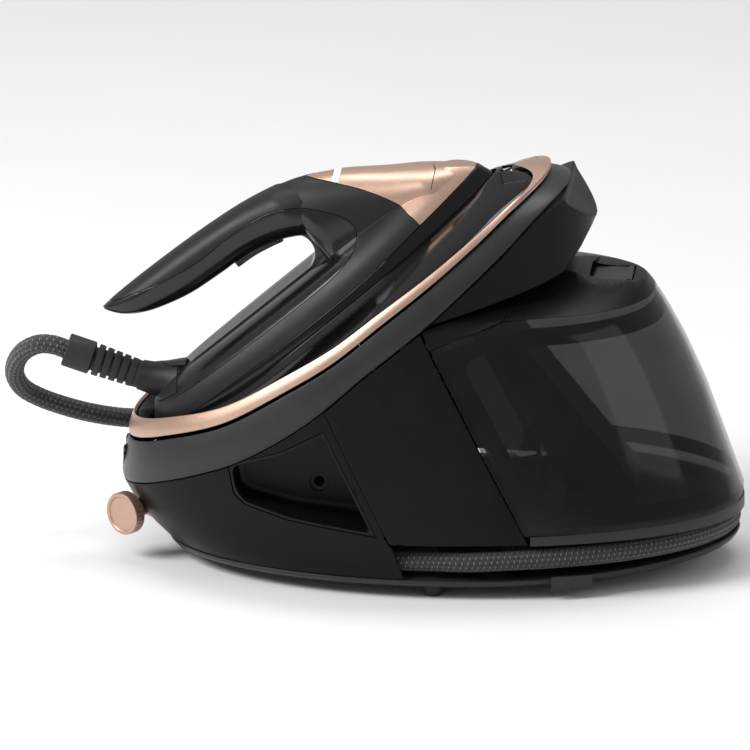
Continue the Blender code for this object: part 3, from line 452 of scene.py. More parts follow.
BASE_RING = plan_ring(BASE_X, BASE_A, BASE_B, lambda x: rim_height(x) + RIM_T + GAP)
CHINE_RING = plan_ring(CHINE_X, CHINE_A, CHINE_B, chine_height, CHINE_N)
TRIM_RING = plan_ring(TRIM_X, TRIM_A, TRIM_B, trim_height)
TRIM_TOP_RING = plan_ring(TRIM_X, TRIM_A - 3.5, TRIM_B - 3.5, trim_top_height)


def refine(points, step):
    """The same smooth line through more points, along its first coordinate."""
    count = max(1, round(abs(points[-1][0] - points[0][0]) / step))
    spots = [points[0][0] + (points[-1][0] - points[0][0]) * k / count for k in range(count + 1)]
    return [(at, smooth_line(points, at)) for at in spots]


def soften(item, width, segments=2, angle=34):
    """Rounded edges, with the flats kept flat."""
    bevel = item.modifiers.new("edges", "BEVEL")
    bevel.width = width * MM
    bevel.segments = segments
    bevel.limit_method = "ANGLE"
    bevel.angle_limit = math.radians(angle)
    bevel.use_clamp_overlap = False
    bevel.miter_outer = "MITER_ARC"
    return bake(item)


def shade(item, angle=34):
    """Smooth shading, kept sharp where two faces meet at more than an angle."""
    mend(item.data, weld=0.000004, shortest=0.000002)
    item.data.shade_smooth()
    item.data.set_sharp_from_angle(angle=math.radians(angle))
    weights = item.modifiers.new("weights", "WEIGHTED_NORMAL")
    weights.keep_sharp = True
    weights.weight = 60
    return item


def stand_in(item, name, body, material, nodes=(), angle=34):
    """Name a piece, give it its material, and let it ride and stand for its CAD nodes."""
    item.name = name
    item.data.name = name
    item.data.materials.clear()
    item.data.materials.append(MATERIALS[material])
    if item.type == "MESH":
        shade(item, angle)
    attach(item, body)
    if nodes:
        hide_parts(*nodes)
    return item


# ---------------------------------------------------------------- materials

class Nodes:
    """A material under construction."""

    def __init__(self, name):
        self.material = bpy.data.materials.new(name)
        self.material.use_nodes = True
        self.tree = self.material.node_tree
        self.shader = self.tree.nodes["Principled BSDF"]
        self.place = self.add("ShaderNodeTexCoord").outputs["Object"]

    def add(self, kind, **inputs):
        node = self.tree.nodes.new(kind)
        for key, value in inputs.items():
            self.feed(node.inputs[key.replace("_", " ")], value)
        return node

    def feed(self, socket, value):
        if isinstance(value, bpy.types.NodeSocket):
            self.tree.links.new(value, socket)
        else:
            socket.default_value = value

    def noise(self, scale, detail=2.0, roughness=0.5):
        node = self.add("ShaderNodeTexNoise", Vector=self.place, Scale=scale, Detail=detail,
                        Roughness=roughness)
        return node.outputs["Fac"]

    def cells(self, scale):
        return self.add("ShaderNodeTexVoronoi", Vector=self.place, Scale=scale).outputs["Distance"]

    def math(self, operation, a, b=0.0):
        node = self.tree.nodes.new("ShaderNodeMath")
        node.operation = operation
        self.feed(node.inputs[0], a)
        self.feed(node.inputs[1], b)
        return node.outputs[0]

    def weighted(self, a, a_share, b, b_share):
        return self.math("ADD", self.math("MULTIPLY", a, a_share), self.math("MULTIPLY", b, b_share))

    def spread(self, value, low, high, a=0.3, b=0.7):
        """Map a value between two limits to a range."""
        node = self.add("ShaderNodeMapRange", Value=value)
        for key, number in (("From Min", a), ("From Max", b), ("To Min", low), ("To Max", high)):
            node.inputs[key].default_value = number
        return node.outputs["Result"]

    def blend(self, factor, first, second):
        node = self.tree.nodes.new("ShaderNodeMix")
        node.data_type = "RGBA"
        self.feed(node.inputs[0], factor)
        self.feed(node.inputs[6], (*first, 1.0))
        self.feed(node.inputs[7], (*second, 1.0))
        return node.outputs[2]

    def bump(self, height, distance, strength=1.0):
        node = self.add("ShaderNodeBump", Height=height, Distance=distance, Strength=strength)
        self.feed(self.shader.inputs["Normal"], node.outputs["Normal"])

    def give(self, **inputs):
        for key, value in inputs.items():
            self.feed(self.shader.inputs[key.replace("_", " ")], value)
        return self.material


def moulded(name, dark, light, rough, grain=0.05, grain_size=0.55, smudge=0.06, **more):
    """Moulded plastic: spark-eroded grain, faint flow marks and handling marks."""
    made = Nodes(name)
    fine = made.noise(1000 / grain_size, 2.0, 0.6)
    broad = made.noise(22.0, 3.0, 0.55)
    marks = made.noise(95.0, 4.0, 0.65)
    uneven = made.weighted(broad, 0.6, marks, 0.4)
    colour = made.blend(made.spread(uneven, 0.0, 1.0), dark, light)
    roughness = made.math("ADD", made.spread(uneven, rough - smudge, rough + smudge),
                          made.spread(fine, -0.03, 0.03))
    made.bump(fine, grain * MM)
    return made.give(Base_Color=colour, Roughness=roughness, **more)


def polished(name, dark, light, rough, **more):
    """Gloss moulding: slight orange peel, fine dust and wiping marks."""
    made = Nodes(name)
    peel = made.noise(170.0, 1.0, 0.4)
    marks = made.noise(60.0, 5.0, 0.7)
    dust = made.spread(made.cells(900.0), 1.0, 0.0, 0.02, 0.06)
    specks = made.math("MULTIPLY", dust, made.spread(marks, 0.0, 1.0, 0.5, 0.7))
    colour = made.blend(specks, dark, light)
    roughness = made.math("ADD", made.spread(marks, rough * 0.8, rough * 1.5),
                          made.math("MULTIPLY", specks, 0.25))
    made.bump(peel, 0.02 * MM)
    return made.give(Base_Color=colour, Roughness=roughness, **more)


def painted_metal(name):
    """Copper paint: fine flakes under a satin lacquer."""
    made = Nodes(name)
    flakes = made.add("ShaderNodeTexVoronoi", Vector=made.place, Scale=3200.0)
    tone = made.add("ShaderNodeSeparateColor", Color=flakes.outputs["Color"]).outputs["Red"]
    broad = made.noise(18.0, 3.0, 0.5)
    mixed = made.weighted(tone, 0.35, broad, 0.65)
    colour = made.blend(made.spread(mixed, 0.0, 1.0, 0.25, 0.75), (0.47, 0.30, 0.225), (0.60, 0.405, 0.315))
    roughness = made.math("ADD", made.spread(tone, 0.33, 0.43, 0.0, 1.0), made.spread(broad, -0.03, 0.03))
    made.bump(tone, 0.012 * MM)
    return made.give(Base_Color=colour, Roughness=roughness, Metallic=0.82, Coat_Weight=0.25,
                     Coat_Roughness=0.22)


def bare_metal(name, dark, light, rough, streak):
    """Brushed or cast metal: streaks along one axis over a broad variation."""
    made = Nodes(name)
    stretch = made.add("ShaderNodeMapping", Vector=made.place)
    stretch.inputs["Scale"].default_value = streak
    lines = made.add("ShaderNodeTexNoise", Vector=stretch.outputs["Vector"], Scale=1.0, Detail=4.0,
                     Roughness=0.7).outputs["Fac"]
    broad = made.noise(40.0, 3.0, 0.6)
    mixed = made.weighted(lines, 0.6, broad, 0.4)
    made.bump(lines, 0.02 * MM)
    return made.give(Base_Color=made.blend(made.spread(mixed, 0.0, 1.0), dark, light),
                     Roughness=made.spread(mixed, rough - 0.08, rough + 0.1), Metallic=1.0)


def smoked(name):
    """Smoked clear moulding: faint flow lines, a few droplet marks and wiping haze."""
    made = Nodes(name)
    haze = made.noise(34.0, 4.0, 0.6)
    drops = made.spread(made.cells(260.0), 1.0, 0.0, 0.05, 0.12)
    spots = made.math("MULTIPLY", drops, made.spread(made.noise(50.0), 0.0, 1.0, 0.55, 0.72))
    made.bump(made.noise(26.0, 2.0, 0.4), 0.05 * MM)
    roughness = made.math("ADD", made.spread(haze, 0.035, 0.085), made.math("MULTIPLY", spots, 0.12))
    colour = made.blend(made.spread(haze, 0.0, 1.0), (0.006, 0.006, 0.0065), (0.010, 0.0097, 0.0105))
    return made.give(Base_Color=colour, Roughness=roughness, Alpha=made.spread(haze, 0.54, 0.60),
                     Specular_IOR_Level=0.3)


BRAID_STRANDS, BRAID_PITCH = 12, 15.0       # strands each way, and millimetres they run per turn


def braided(name):
    """Woven sleeve: black yarn with a grey tracer, two sets of strands that pass over and under; the tracer
    carries painted shade where its strands dip.
    """
    made = Nodes(name)
    uv = made.add("ShaderNodeUVMap")
    parts = made.add("ShaderNodeSeparateXYZ", Vector=uv.outputs["UV"])
    around, along = parts.outputs["X"], parts.outputs["Y"]
    turns = made.math("MULTIPLY", around, float(BRAID_STRANDS))
    runs = made.math("MULTIPLY", along, BRAID_STRANDS / BRAID_PITCH)
    ways = [made.math("ADD", runs, turns), made.math("SUBTRACT", runs, turns)]
    ridges = [made.math("ABSOLUTE", made.math("SINE", made.math("MULTIPLY", way, math.pi))) for way in ways]
    whole = [made.math("FLOOR", way) for way in ways]
    parity = made.math("MODULO", made.math("ABSOLUTE", made.math("ADD", whole[0], whole[1])), 2.0)
    over = made.weighted(ridges[0], parity, ridges[1], made.math("SUBTRACT", 1.0, parity))
    fibres = made.add("ShaderNodeTexNoise", Vector=made.place, Scale=2600.0, Detail=3.0).outputs["Fac"]
    tracer = made.math("LESS_THAN", made.math("MODULO", made.math("ABSOLUTE", whole[0]), 3.0), 0.5)
    on_top = made.math("MULTIPLY", tracer, parity)
    # Painted shade: the grey tracer is dimmed towards the edges of each strand, where it dips under the
    # crossing strand.
    tracer_with_painted_shade = made.math("MULTIPLY", on_top, made.spread(over, 0.15, 1.0, 0.3, 0.95))
    tracer_with_painted_shade = made.math("MULTIPLY", tracer_with_painted_shade, made.spread(fibres, 0.6, 1.0))
    colour = made.blend(tracer_with_painted_shade, (0.016, 0.016, 0.0165), (0.19, 0.19, 0.195))
    height = made.math("ADD", over, made.math("MULTIPLY", fibres, 0.35))
    made.bump(height, 0.5 * MM, 0.9)
    return made.give(Base_Color=colour, Roughness=made.spread(over, 0.85, 0.55, 0.0, 1.0),
                     Sheen_Weight=0.25, Sheen_Roughness=0.4)


def circuit(name):
    """Green board with a grid of tracks."""
    made = Nodes(name)
    tracks = made.add("ShaderNodeTexBrick", Vector=made.place, Scale=180.0)
    tracks.inputs["Mortar Size"].default_value = 0.03
    mask = tracks.outputs["Fac"]
    colour = made.blend(mask, (0.012, 0.07, 0.03), (0.03, 0.16, 0.07))
    made.bump(mask, 0.05 * MM)
    return made.give(Base_Color=colour, Roughness=made.spread(made.noise(300.0), 0.35, 0.55))


def floor_paper(name):
    """Pale backdrop paper, faintly fibrous."""
    made = Nodes(name)
    fibre = made.noise(700.0, 3.0, 0.6)
    colour = made.blend(made.spread(made.noise(5.0), 0.0, 1.0), (0.80, 0.80, 0.80), (0.82, 0.82, 0.82))
    made.bump(fibre, 0.03 * MM)
    return made.give(Base_Color=colour, Roughness=0.75)


MATERIALS = {
    "shell": moulded("shell", (0.0165, 0.016, 0.0165), (0.022, 0.0215, 0.022), 0.38, 0.03, 0.45,
                     Specular_IOR_Level=0.36),
    "hull": moulded("hull", (0.0045, 0.0042, 0.0048), (0.0072, 0.0068, 0.0075), 0.36, 0.03, 0.45,
                    Specular_IOR_Level=0.13),
    "pocket": moulded("pocket", (0.003, 0.003, 0.0032), (0.005, 0.0048, 0.0052), 0.34, 0.02, 0.45,
                      Specular_IOR_Level=0.2),
    "grip": moulded("grip", (0.0085, 0.0083, 0.0085), (0.0125, 0.012, 0.0125), 0.46, 0.08, 0.7,
                    Specular_IOR_Level=0.3),
    "body": moulded("body", (0.0060, 0.0058, 0.0062), (0.0095, 0.0092, 0.0097), 0.34, 0.03, 0.45,
                    Specular_IOR_Level=0.3),
    "gloss": polished("gloss", (0.0022, 0.0022, 0.0024), (0.02, 0.02, 0.02), 0.09, Specular_IOR_Level=0.35),
    "liner": polished("liner", (0.0050, 0.0050, 0.0052), (0.03, 0.03, 0.03), 0.17),
    "copper": painted_metal("copper"),
    "smoke": smoked("smoke"),
    "rubber": moulded("rubber", (0.0075, 0.0075, 0.0077), (0.0120, 0.0120, 0.0122), 0.62, 0.12, 0.9),
    "braid": braided("braid"),
    "steel": bare_metal("steel", (0.42, 0.42, 0.43), (0.62, 0.62, 0.63), 0.30, (30.0, 900.0, 900.0)),
    "aluminium": bare_metal("aluminium", (0.50, 0.50, 0.52), (0.68, 0.68, 0.70), 0.42, (500.0, 500.0, 500.0)),
    "brass": bare_metal("brass", (0.52, 0.36, 0.14), (0.72, 0.52, 0.24), 0.30, (900.0, 900.0, 60.0)),
    "frost": moulded("frost", (0.80, 0.80, 0.80), (0.92, 0.92, 0.92), 0.35, 0.02, 0.4,
                     Subsurface_Weight=0.3, Subsurface_Scale=0.002),
    "board": circuit("board"),
    "paper": floor_paper("paper"),
}


# ---------------------------------------------------------------- camera and light

VIEW_WIDTH = 0.503356                        # metres across the picture
VIEW_RIGHT, VIEW_UP = -0.019463, 0.117718    # the picture's middle from the frame's origin, in metres
AZIMUTH, ELEVATION = math.radians(4), math.radians(16)
CAMERA_AWAY = 3.0


def make_camera():
    right = Vector((math.cos(AZIMUTH), math.sin(AZIMUTH), 0))
    level = Vector((-math.sin(AZIMUTH), math.cos(AZIMUTH), 0)) * math.cos(ELEVATION)
    forward = level - Vector((0, 0, math.sin(ELEVATION)))
    up = right.cross(forward)
    centre = right * VIEW_RIGHT + up * VIEW_UP
    axes = Matrix((right, up, -forward)).transposed().to_4x4()
    data = bpy.data.cameras.new("camera")
    data.type = "ORTHO"
    data.ortho_scale = VIEW_WIDTH
    data.clip_end = 20
    camera = bpy.data.objects.new("camera", data)
    bpy.context.scene.collection.objects.link(camera)
    camera.matrix_world = Matrix.Translation(centre - forward * CAMERA_AWAY) @ axes
    bpy.context.scene.camera = camera


def add_light(name, at, aim, size, watts):
    data = bpy.data.lights.new(name, "AREA")
    data.shape = "RECTANGLE"
    data.size, data.size_y = size
    data.energy = watts
    lamp = bpy.data.objects.new(name, data)
    bpy.context.scene.collection.objects.link(lamp)
    lamp.location = at
    lamp.rotation_euler = (Vector(aim) - Vector(at)).to_track_quat("-Z", "Y").to_euler()


def make_stage():
    corners = [(-6000, -6000, 0), (6000, -6000, 0), (6000, 6000, 0), (-6000, 6000, 0)]
    floor = new_object("floor", to_mesh("floor", corners, [(0, 1, 2, 3)]))
    floor.data.materials.append(MATERIALS["paper"])
    world = bpy.data.worlds.new("studio")
    bpy.context.scene.world = world
    world.use_nodes = True
    sky = world.node_tree.nodes["Background"]
    sky.inputs["Color"].default_value = (1, 1, 1, 1)
    sky.inputs["Strength"].default_value = 0.45
    add_light("key", (-1.6, -0.9, 1.5), (-0.1, 0, 0.12), (1.0, 1.0), 50)
    add_light("top", (0.0, 0.6, 2.0), (0, 0, 0.1), (1.8, 0.7), 20)
    add_light("side", (2.4, -0.9, 1.1), (0.1, 0, 0.12), (1.6, 1.6), 9)
    bpy.context.scene.view_settings.view_transform = "Standard"


# ---------------------------------------------------------------- steam hose

STRAND_RISE = 0.42


def make_hose():
    """Woven sleeve over the hose, its strands raised, as one tube along the whole route."""
    route = smooth_route(hose_route(), 1.0)
    count = len(route)
    sides = 64
    points = np.array([tuple(p) for p in route])
    tangent = np.gradient(points, axis=0)
    tangent /= np.linalg.norm(tangent, axis=1)[:, None]
    steps = np.linalg.norm(np.diff(points, axis=0), axis=1)
    travel = np.concatenate([[0.0], np.cumsum(steps)])
    across = np.zeros_like(points)
    side = np.cross(tangent[0], (0.0, 1.0, 0.0))
    for k in range(count):
        side = side - tangent[k] * np.dot(side, tangent[k])
        side /= np.linalg.norm(side)
        across[k] = side
    other = np.cross(tangent, across)
    turn = np.arange(sides) / sides
    runs = travel[:, None] * BRAID_STRANDS / BRAID_PITCH
    ways = (runs + turn[None, :] * BRAID_STRANDS, runs - turn[None, :] * BRAID_STRANDS)
    ridges = [np.abs(np.sin(np.pi * way)) for way in ways]
    parity = (np.floor(ways[0]) + np.floor(ways[1])) % 2
    raised = np.where(parity > 0.5, ridges[0], ridges[1]) ** 0.8
    radius = HOSE_D / 2 - STRAND_RISE + STRAND_RISE * raised
    angle = 2 * np.pi * turn[None, :, None]
    ring = across[:, None, :] * np.cos(angle) + other[:, None, :] * np.sin(angle)
    vertices = (points[:, None, :] + ring * radius[:, :, None]).reshape(-1, 3) * MM
    faces, uvs = [], []
    for i in range(count - 1):
        for k in range(sides):
            j = (k + 1) % sides
            faces.append((i * sides + k, i * sides + j, (i + 1) * sides + j, (i + 1) * sides + k))
            low, high = k / sides, (k + 1) / sides
            uvs += [(low, travel[i]), (high, travel[i]), (high, travel[i + 1]), (low, travel[i + 1])]
    for start in (0, (count - 1) * sides):
        faces.append(tuple(range(start, start + sides)))
        uvs += [(0.0, 0.0)] * sides
    mesh = bpy.data.meshes.new("hose")
    mesh.from_pydata([tuple(v) for v in vertices], [], faces)
    layer = mesh.uv_layers.new(name="UVMap")
    layer.data.foreach_set("uv", np.array(uvs, np.float32).ravel())
    mesh.materials.append(MATERIALS["braid"])
    mesh.shade_smooth()
    mend(mesh)
    hose = new_object("steam_hose", mesh)
    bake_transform(hose)
    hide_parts("hose_iron_end", "hose_base_side")


# ---------------------------------------------------------------- base

def make_base_plate():
    low = plan_ring(BASE_X, BASE_A - 3, BASE_B - 3, rim_height)
    side = plan_ring(BASE_X, BASE_A - 0.9, BASE_B - 0.9, lambda x: rim_height(x) + 2.2)
    edge = plan_ring(BASE_X, BASE_A, BASE_B, lambda x: rim_height(x) + RIM_T - 0.8)
    high = plan_ring(BASE_X, BASE_A - 0.7, BASE_B - 0.7, lambda x: rim_height(x) + RIM_T)
    floor = [plan_ring(BASE_X, BASE_A * 0.8, BASE_B * 0.8, z) for z in (RIM_Z, RIM_Z + RIM_T)]
    plate = skin("plate", [floor[0], low, side, edge, high, floor[1]], "flat")
    stand_in(plate, "base_tray", "base", "shell", ["base_plate"], 50)


def make_hull():
    hull = thicken(skin("hull", hull_rings(0.0), ends="open"), WALL)
    keep_inside(hull, HULL_OUTLINE, -150, 150)
    for side in (-1, 1):
        combine(hull, prism("panel_gap", inset(PANEL_OUTLINE, -GAP), 40 * side, 150 * side))
    combine(hull, prism("pocket_cut", POCKET_OUTLINE, -150, -60))
    combine(hull, knob_bore(9.5))
    stand_in(soften(hull, 0.45), "hull_moulding", "base", "hull", ["lower_hull"])
    for name, node, side in (("near_panel", "side_panel_near", -1), ("far_panel", "side_panel_far", 1)):
        panel = thicken(skin(name, hull_rings(1.2), ends="open"), WALL + 0.7)
        keep_inside(panel, PANEL_OUTLINE, 40 * side, 150 * side)
        stand_in(soften(panel, 0.6), name, "base", "hull", [node])


def make_cord_pocket():
    pocket = skin("pocket", hull_rings(-0.8))
    keep_inside(pocket, inset(POCKET_OUTLINE, GAP), -150, -72)
    hollow = prism("hollow", inset(POCKET_OUTLINE, 2.3), -150, -74.3)
    soften(hollow, 5.0, 5, 30)
    combine(pocket, hollow)
    combine(pocket, rod("cord_hole", 6.5, (-52, -80, 68), (-52, -60, 68), 32))
    stand_in(soften(pocket, 0.35), "pocket_liner", "base", "pocket", ["cord_pocket"])


def make_shelf():
    low = plan_ring(SHELF_X, SHELF_A, SHELF_B, lambda x: SHELF_Z - 0.00004 * max(0, x) ** 2)
    high = plan_ring(SHELF_X, SHELF_A, SHELF_B, SHELF_TOP)
    shelf = skin("shelf", [low, high])
    keep_inside(shelf, [(93, 30), (240, 30), (240, 50), (93, 50)], -140, 140)
    stand_in(soften(shelf, 0.6), "tank_step", "base", "shell", ["tank_shelf"])


def make_upper_shell():
    levels = ((0, 0, 0.9), (0.06, 0.8, 0.8), (0.12, 1.4, 0.7), (0.3, 1.9, 0.4), (0.5, 2.0, 0.1),
              (0.75, 1.3, -0.6), (0.97, 0.1, -1.1), (1, -0.5, -1.3))
    rings = []
    for t, bulge, lift in levels:
        ring = blend_rings(CHINE_RING, TRIM_RING, t, bulge)
        rings.append([(x, y, z + lift) for x, y, z in ring])
    shell = thicken(skin("shell", rings, ends="open"), WALL)
    for y in (-13, 13):
        combine(shell, rod("button_hole", 6.8, (-200, y, BUTTON_Z), (-170, y, BUTTON_Z), TURN))
    stand_in(soften(shell, 0.35), "upper_moulding", "base", "shell", ["upper_shell"])
    low = [(x, y, z + TRIM_LIFT) for x, y, z in grow(TRIM_RING, 0.5)]
    high = [(x, y, z + TRIM_LIFT) for x, y, z in grow(TRIM_TOP_RING, 0.5)]
    levels = ((0.0, -0.4), (0.04, 0.1), (0.25, 0.6), (0.5, 0.8), (0.75, 0.6), (0.96, 0.1), (1.0, -0.4))
    trim = thicken(skin("trim", [blend_rings(low, high, t, b) for t, b in levels], ends="open"), 2.0)
    stand_in(trim, "copper_band", "base", "copper", ["trim_ring"])


def make_platform():
    outer = [(x, y, z - 0.6) for x, y, z in grow(TRIM_TOP_RING, -2.4)]
    inner = [platform_point(s, y, 3.0 + 9.0 * max(0.0, 1 - s / 70) ** 2) for s, y, _ in iron_ring(3.2, 0)]
    rings = []
    for t, lift in ((0.0, 0.0), (0.03, 0.6), (0.1, 1.1), (0.3, 1.6), (0.5, 1.8), (0.7, 1.6), (0.9, 1.1),
                    (0.97, 0.6), (1.0, 0.0)):
        rings.append([(x, y, z + lift) for x, y, z in blend_rings(outer, inner, t)])
    wall = well_ring(1.8, TRAY_N + 2.1)
    rim = thicken(skin("rim", rings + [blend_rings(inner, wall, 0.08), wall], ends="open"), 1.8)
    make_lock(copy_of(rim, "panel"))
    combine(rim, lock_cutter(GAP))
    stand_in(rim, "platform_bezel", "base", "gloss", ["platform_rim"])


def make_rear_block():
    under_shell = (28, 36, 44, 53, 62, 70, 78, 86, 92, 98, 105, 111)
    outline = [(19.5, 182.4)] + [(x, chine_height(x) - 0.9) for x in under_shell]
    outline += [(114, 256), (130, 239), (121.5, 224), (111, 210), (97, 204.8)]
    body = skin("block", [plan_ring(-20, 150, 99, z) for z in (150, 290)])
    keep_inside(body, outline, -130, 130)
    combine(body, prism("inner", [(38, 190), (94, 207), (98, 244), (60, 211), (38, 192)], -60, 60))
    combine(body, prism("mouth", [(50, 196), (72, 204), (72, 240), (50, 240)], -50, 50))
    stand_in(soften(body, 1.2, 3), "rear_moulding", "base", "hull", ["rear_block"])


def make_hose_clip():
    clip = block("clip", (107, -140, 6.4), (134, -60, 16.4))
    outer, inner = (skin("band", [plan_ring(BASE_X, BASE_A + d, BASE_B + d, z) for z in (0, 30)])
                    for d in (3.2, GAP))
    combine(clip, outer, "INTERSECT")
    combine(clip, inner)
    stand_in(soften(clip, 0.4), "clip_tab", "base", "shell", ["hose_clip"])


def make_descaler():
    origin, aim = knob_frame()
    profile = [(0, 36), (10.8, 36), (11.4, 36.3), (11.7, 37.0), (12.3, 37.4), (13.4, 37.4), (14.1, 37.1),
               (14.5, 36.4), (14.5, 30.2), (14.2, 29.4), (13.5, 29), (6.6, 27.2), (6.1, 26), (5.6, 12.4),
               (6.4, 11.3), (8.2, 10.5), (8.6, 10.0), (8.6, 8.4), (4, 8.4), (4, -3), (0, -3)]
    knob = turned("knob", profile, origin, aim, TURN)
    spin = aim.to_track_quat("Z", "X").to_matrix()
    for k in range(30):
        turn = 2 * math.pi * k / 30
        spot = origin + spin @ Vector((15.0 * math.cos(turn), 15.0 * math.sin(turn), 29.8))
        combine(knob, rod("flute", 0.8, spot, spot + aim * 6.2, 8))
    stand_in(knob, "copper_knob", "descale_knob", "copper", ["descale_knob"])


def make_lock(rim):
    """Panel and button cut from the platform's own rim, so that they lie flush in it."""
    combine(rim, lock_cutter(0.0), "INTERSECT")
    panel = copy_of(rim, "surround")
    combine(panel, on_platform(block("button_space", (309.2, -13, -40), (319, 13, 20))))
    combine(panel, on_platform(block("hook_travel", (290, -6.6, -40), (309.6, 6.6, 1.4))))
    stand_in(soften(panel, 0.4), "lock_surround", "base", "gloss", ["lock_panel"])
    combine(rim, on_platform(block("button", (309.6, -12.6, -40), (318.6, 12.6, 20))), "INTERSECT")
    stand_in(soften(rim, 0.4), "lock_key", "lock_button", "gloss", ["lock_button"])


def make_buttons():
    profile = [(0, 13), (6.3, 13), (6.3, 1.4), (6.0, 0.5), (5.2, 0.0), (4.2, 0.35), (2.5, 0.8), (0, 1.0)]
    for name, y in (("power_button", -13), ("mode_button", 13)):
        button = turned("button", profile, (BUTTON_X, y, BUTTON_Z), (1, 0, 0), TURN)
        stand_in(button, name.split("_")[0] + "_key", name, "gloss", [name])


# ---------------------------------------------------------------- water tank

def make_tank():
    face = [(tank_edge(z) + 1.0, z) for z in (181.6, 45)]
    cap_outline = [face[0], *refine(TANK_TOP_EDGE, 4), (240, 195.5), (240, 187), *GRIP_BOTTOM]
    shell_outline = [(x, z - GAP) for x, z in reversed(GRIP_BOTTOM)]
    shell_outline += [(240, 186.7), (240, 45), face[1]]
    tank = skin("tank", tank_rings(0))
    keep_inside(tank, shell_outline, -140, 140)
    inner = skin("inner", [[(x, y, max(z, 48)) for x, y, z in ring] for ring in tank_rings(-2.6)])
    upper, lower = tank_edge(186) + 4, tank_edge(40) + 4
    inner_front = [(upper, 186), (upper, 230), (240, 230), (240, 40), (lower, 40)]
    keep_inside(inner, inner_front, -140, 140)
    combine(tank, inner)
    aim = draw_direction()
    combine(tank, rod("valve_hole", 6.3, VALVE_AT - aim * 12, VALVE_AT + aim * 14, 32))
    stand_in(soften(tank, 0.5), "tank_glaze", "water_tank", "smoke", ["tank_shell"])
    cap = skin("cap", tank_rings(0))
    keep_inside(cap, cap_outline, -140, 140)
    x, y, z = LID_HINGE
    combine(cap, block("fill_mouth", (x - 28, -17, 150), (x + 1.2, 17, 230)))
    stand_in(soften(cap, 0.7), "tank_cap", "water_tank", "hull", ["tank_top"])
    column = prism("column", [(52, 164), (66, 172), (158, 58), (158, 51), (112, 51)], -30, 30)
    soften(column, 4.0, 4, 20)
    stand_in(column, "filter_housing", "water_tank", "pocket", ["tank_column"])
    lid = block("lid", (x - 27.6, -16.6, z - 2.6), (x - 2.4, 16.6, z + 0.6))
    combine(lid, rod("knuckle", 2.6, (x - 1.9, -16.6, z - 1.2), (x - 1.9, 16.6, z - 1.2), 32), "UNION")
    combine(lid, rod("pin_hole", 1.3, (x - 1.9, -20, z - 1.2), (x - 1.9, 20, z - 1.2), 32))
    stand_in(soften(lid, 0.4), "fill_flap", "fill_lid", "body", ["fill_lid"])
    make_tank_border(shell_outline)


def make_tank_border(outline):
    """Opaque band printed round the inside of the tank's window."""
    band = thicken(skin("band", tank_rings(-2.75), ends="open"), 0.35)
    keep_inside(band, inset(outline, 4.5), -140, 140)
    window = prism("window", inset(outline, 15.5), -150, 150)
    combine(band, soften(window, 9.0, 6, 20))
    stand_in(band, "window_border", "water_tank", "pocket")


# ---------------------------------------------------------------- iron

def handle_section(s, top, under, half, count=48):
    """Rounded cross-section of the handle."""
    ring = []
    for k in range(count):
        angle = 2 * math.pi * k / count
        y = half * power(math.cos(angle), 0.85)
        n = (top + under) / 2 + (top - under) / 2 * power(math.sin(angle), 0.8)
        ring.append((s, y, n))
    return ring


def hood_section(s, count=40):
    """Cross-section of the hood: wide at the body, narrow above, round on top."""
    base, top = 7.3, smooth_line(HANDLE_TOP, s)
    back = max(0.0, 1 - (s - COLUMN_FRONT) / COLUMN_DEPTH)
    rounding = math.sqrt(max(0.02, 1 - back**2))
    wide = max(1.0, iron_width(s) - 3) * rounding
    narrow = min(25.0 * rounding, wide * 0.85)
    half = []
    for k in range(count + 1):
        t = k / count
        flare = (wide - narrow) * max(0.0, 1 - t / 0.42) ** 2
        crown = math.sqrt(max(0.0, 1 - max(0.0, (t - 0.45) / 0.55) ** 2.2))
        half.append((narrow * crown + flare, base + (top - base) * t))
    return [(s, y, n) for y, n in half] + [(s, -y, n) for y, n in reversed(half[:-1])]


def make_iron_form():
    """The iron's whole outer form, in its own frame, to be sliced into its mouldings."""
    form = skin("iron_form", [iron_ring(inward, n) for n, inward in BODY_LEVELS])
    nose_line = refine(HANDLE_TOP[9:], 4)
    combine(form, prism("nose_cut", nose_line + [(320, 0), (320, 70), (243, 70)], -80, 80))
    stations = [172.5, 172.8, 173.4, 174.3, 175.6, 177.2, 179.2, 181.5]
    stations += [184 + 107 * k / 40 for k in range(41)]
    hood = skin("hood", [hood_section(s) for s in stations], "flat")
    combine(form, loop_filler(), "UNION")
    spots = [33, 33.5, 34, 35, 36, 38, 41, 45] + [50 + 4.2 * k for k in range(31)]
    sections = [handle_section(s, smooth_line(HANDLE_TOP, s), smooth_line(HANDLE_UNDER, s),
                               smooth_line(HANDLE_HALF, s)) for s in spots]
    sections.append(handle_section(188.3, smooth_line(HANDLE_TOP, 188.3) - 3, 44, 20))
    combine(form, skin("handle", sections, "flat"), "UNION")
    combine(form, hood, "UNION")
    combine(form, spine(), "UNION")
    neck = make_neck()
    neck.data.transform(IRON_FRAME.inverted())
    return combine(form, neck, "UNION")


def loop_filler():
    """Wedge that rounds the closed end of the handle's loop."""
    at, height, radius = LOOP_ARC
    angles = [math.radians(-80 + 130 * k / 24) for k in range(25)]
    arc = [(at + radius * math.cos(a), height + radius * math.sin(a)) for a in angles]
    outline = [(at - 4, 26.4), *arc, (arc[-1][0] + 1.7, 61.3), (184.2, 61.3), (184.2, 26.4)]
    return prism("filler", outline, -14.3, 14.3)


def spine():
    """Low raised rail along the top of the body, from the heel to the loop's end."""
    rings = []
    for s, half, n in ((24, 6, 22), (30, 10, 26.5), (40, 13.5, 30), (60, 16, 31.6), (110, 17, 31.6),
                       (150, 17, 31.6), (178, 17, 31.6)):
        rings.append([(s, -half - 3, n - 9), (s, -half, n - 2), (s, -half + 2.5, n), (s, half - 2.5, n),
                      (s, half, n - 2), (s, half + 3, n - 9)])
    return skin("spine", rings, "flat")


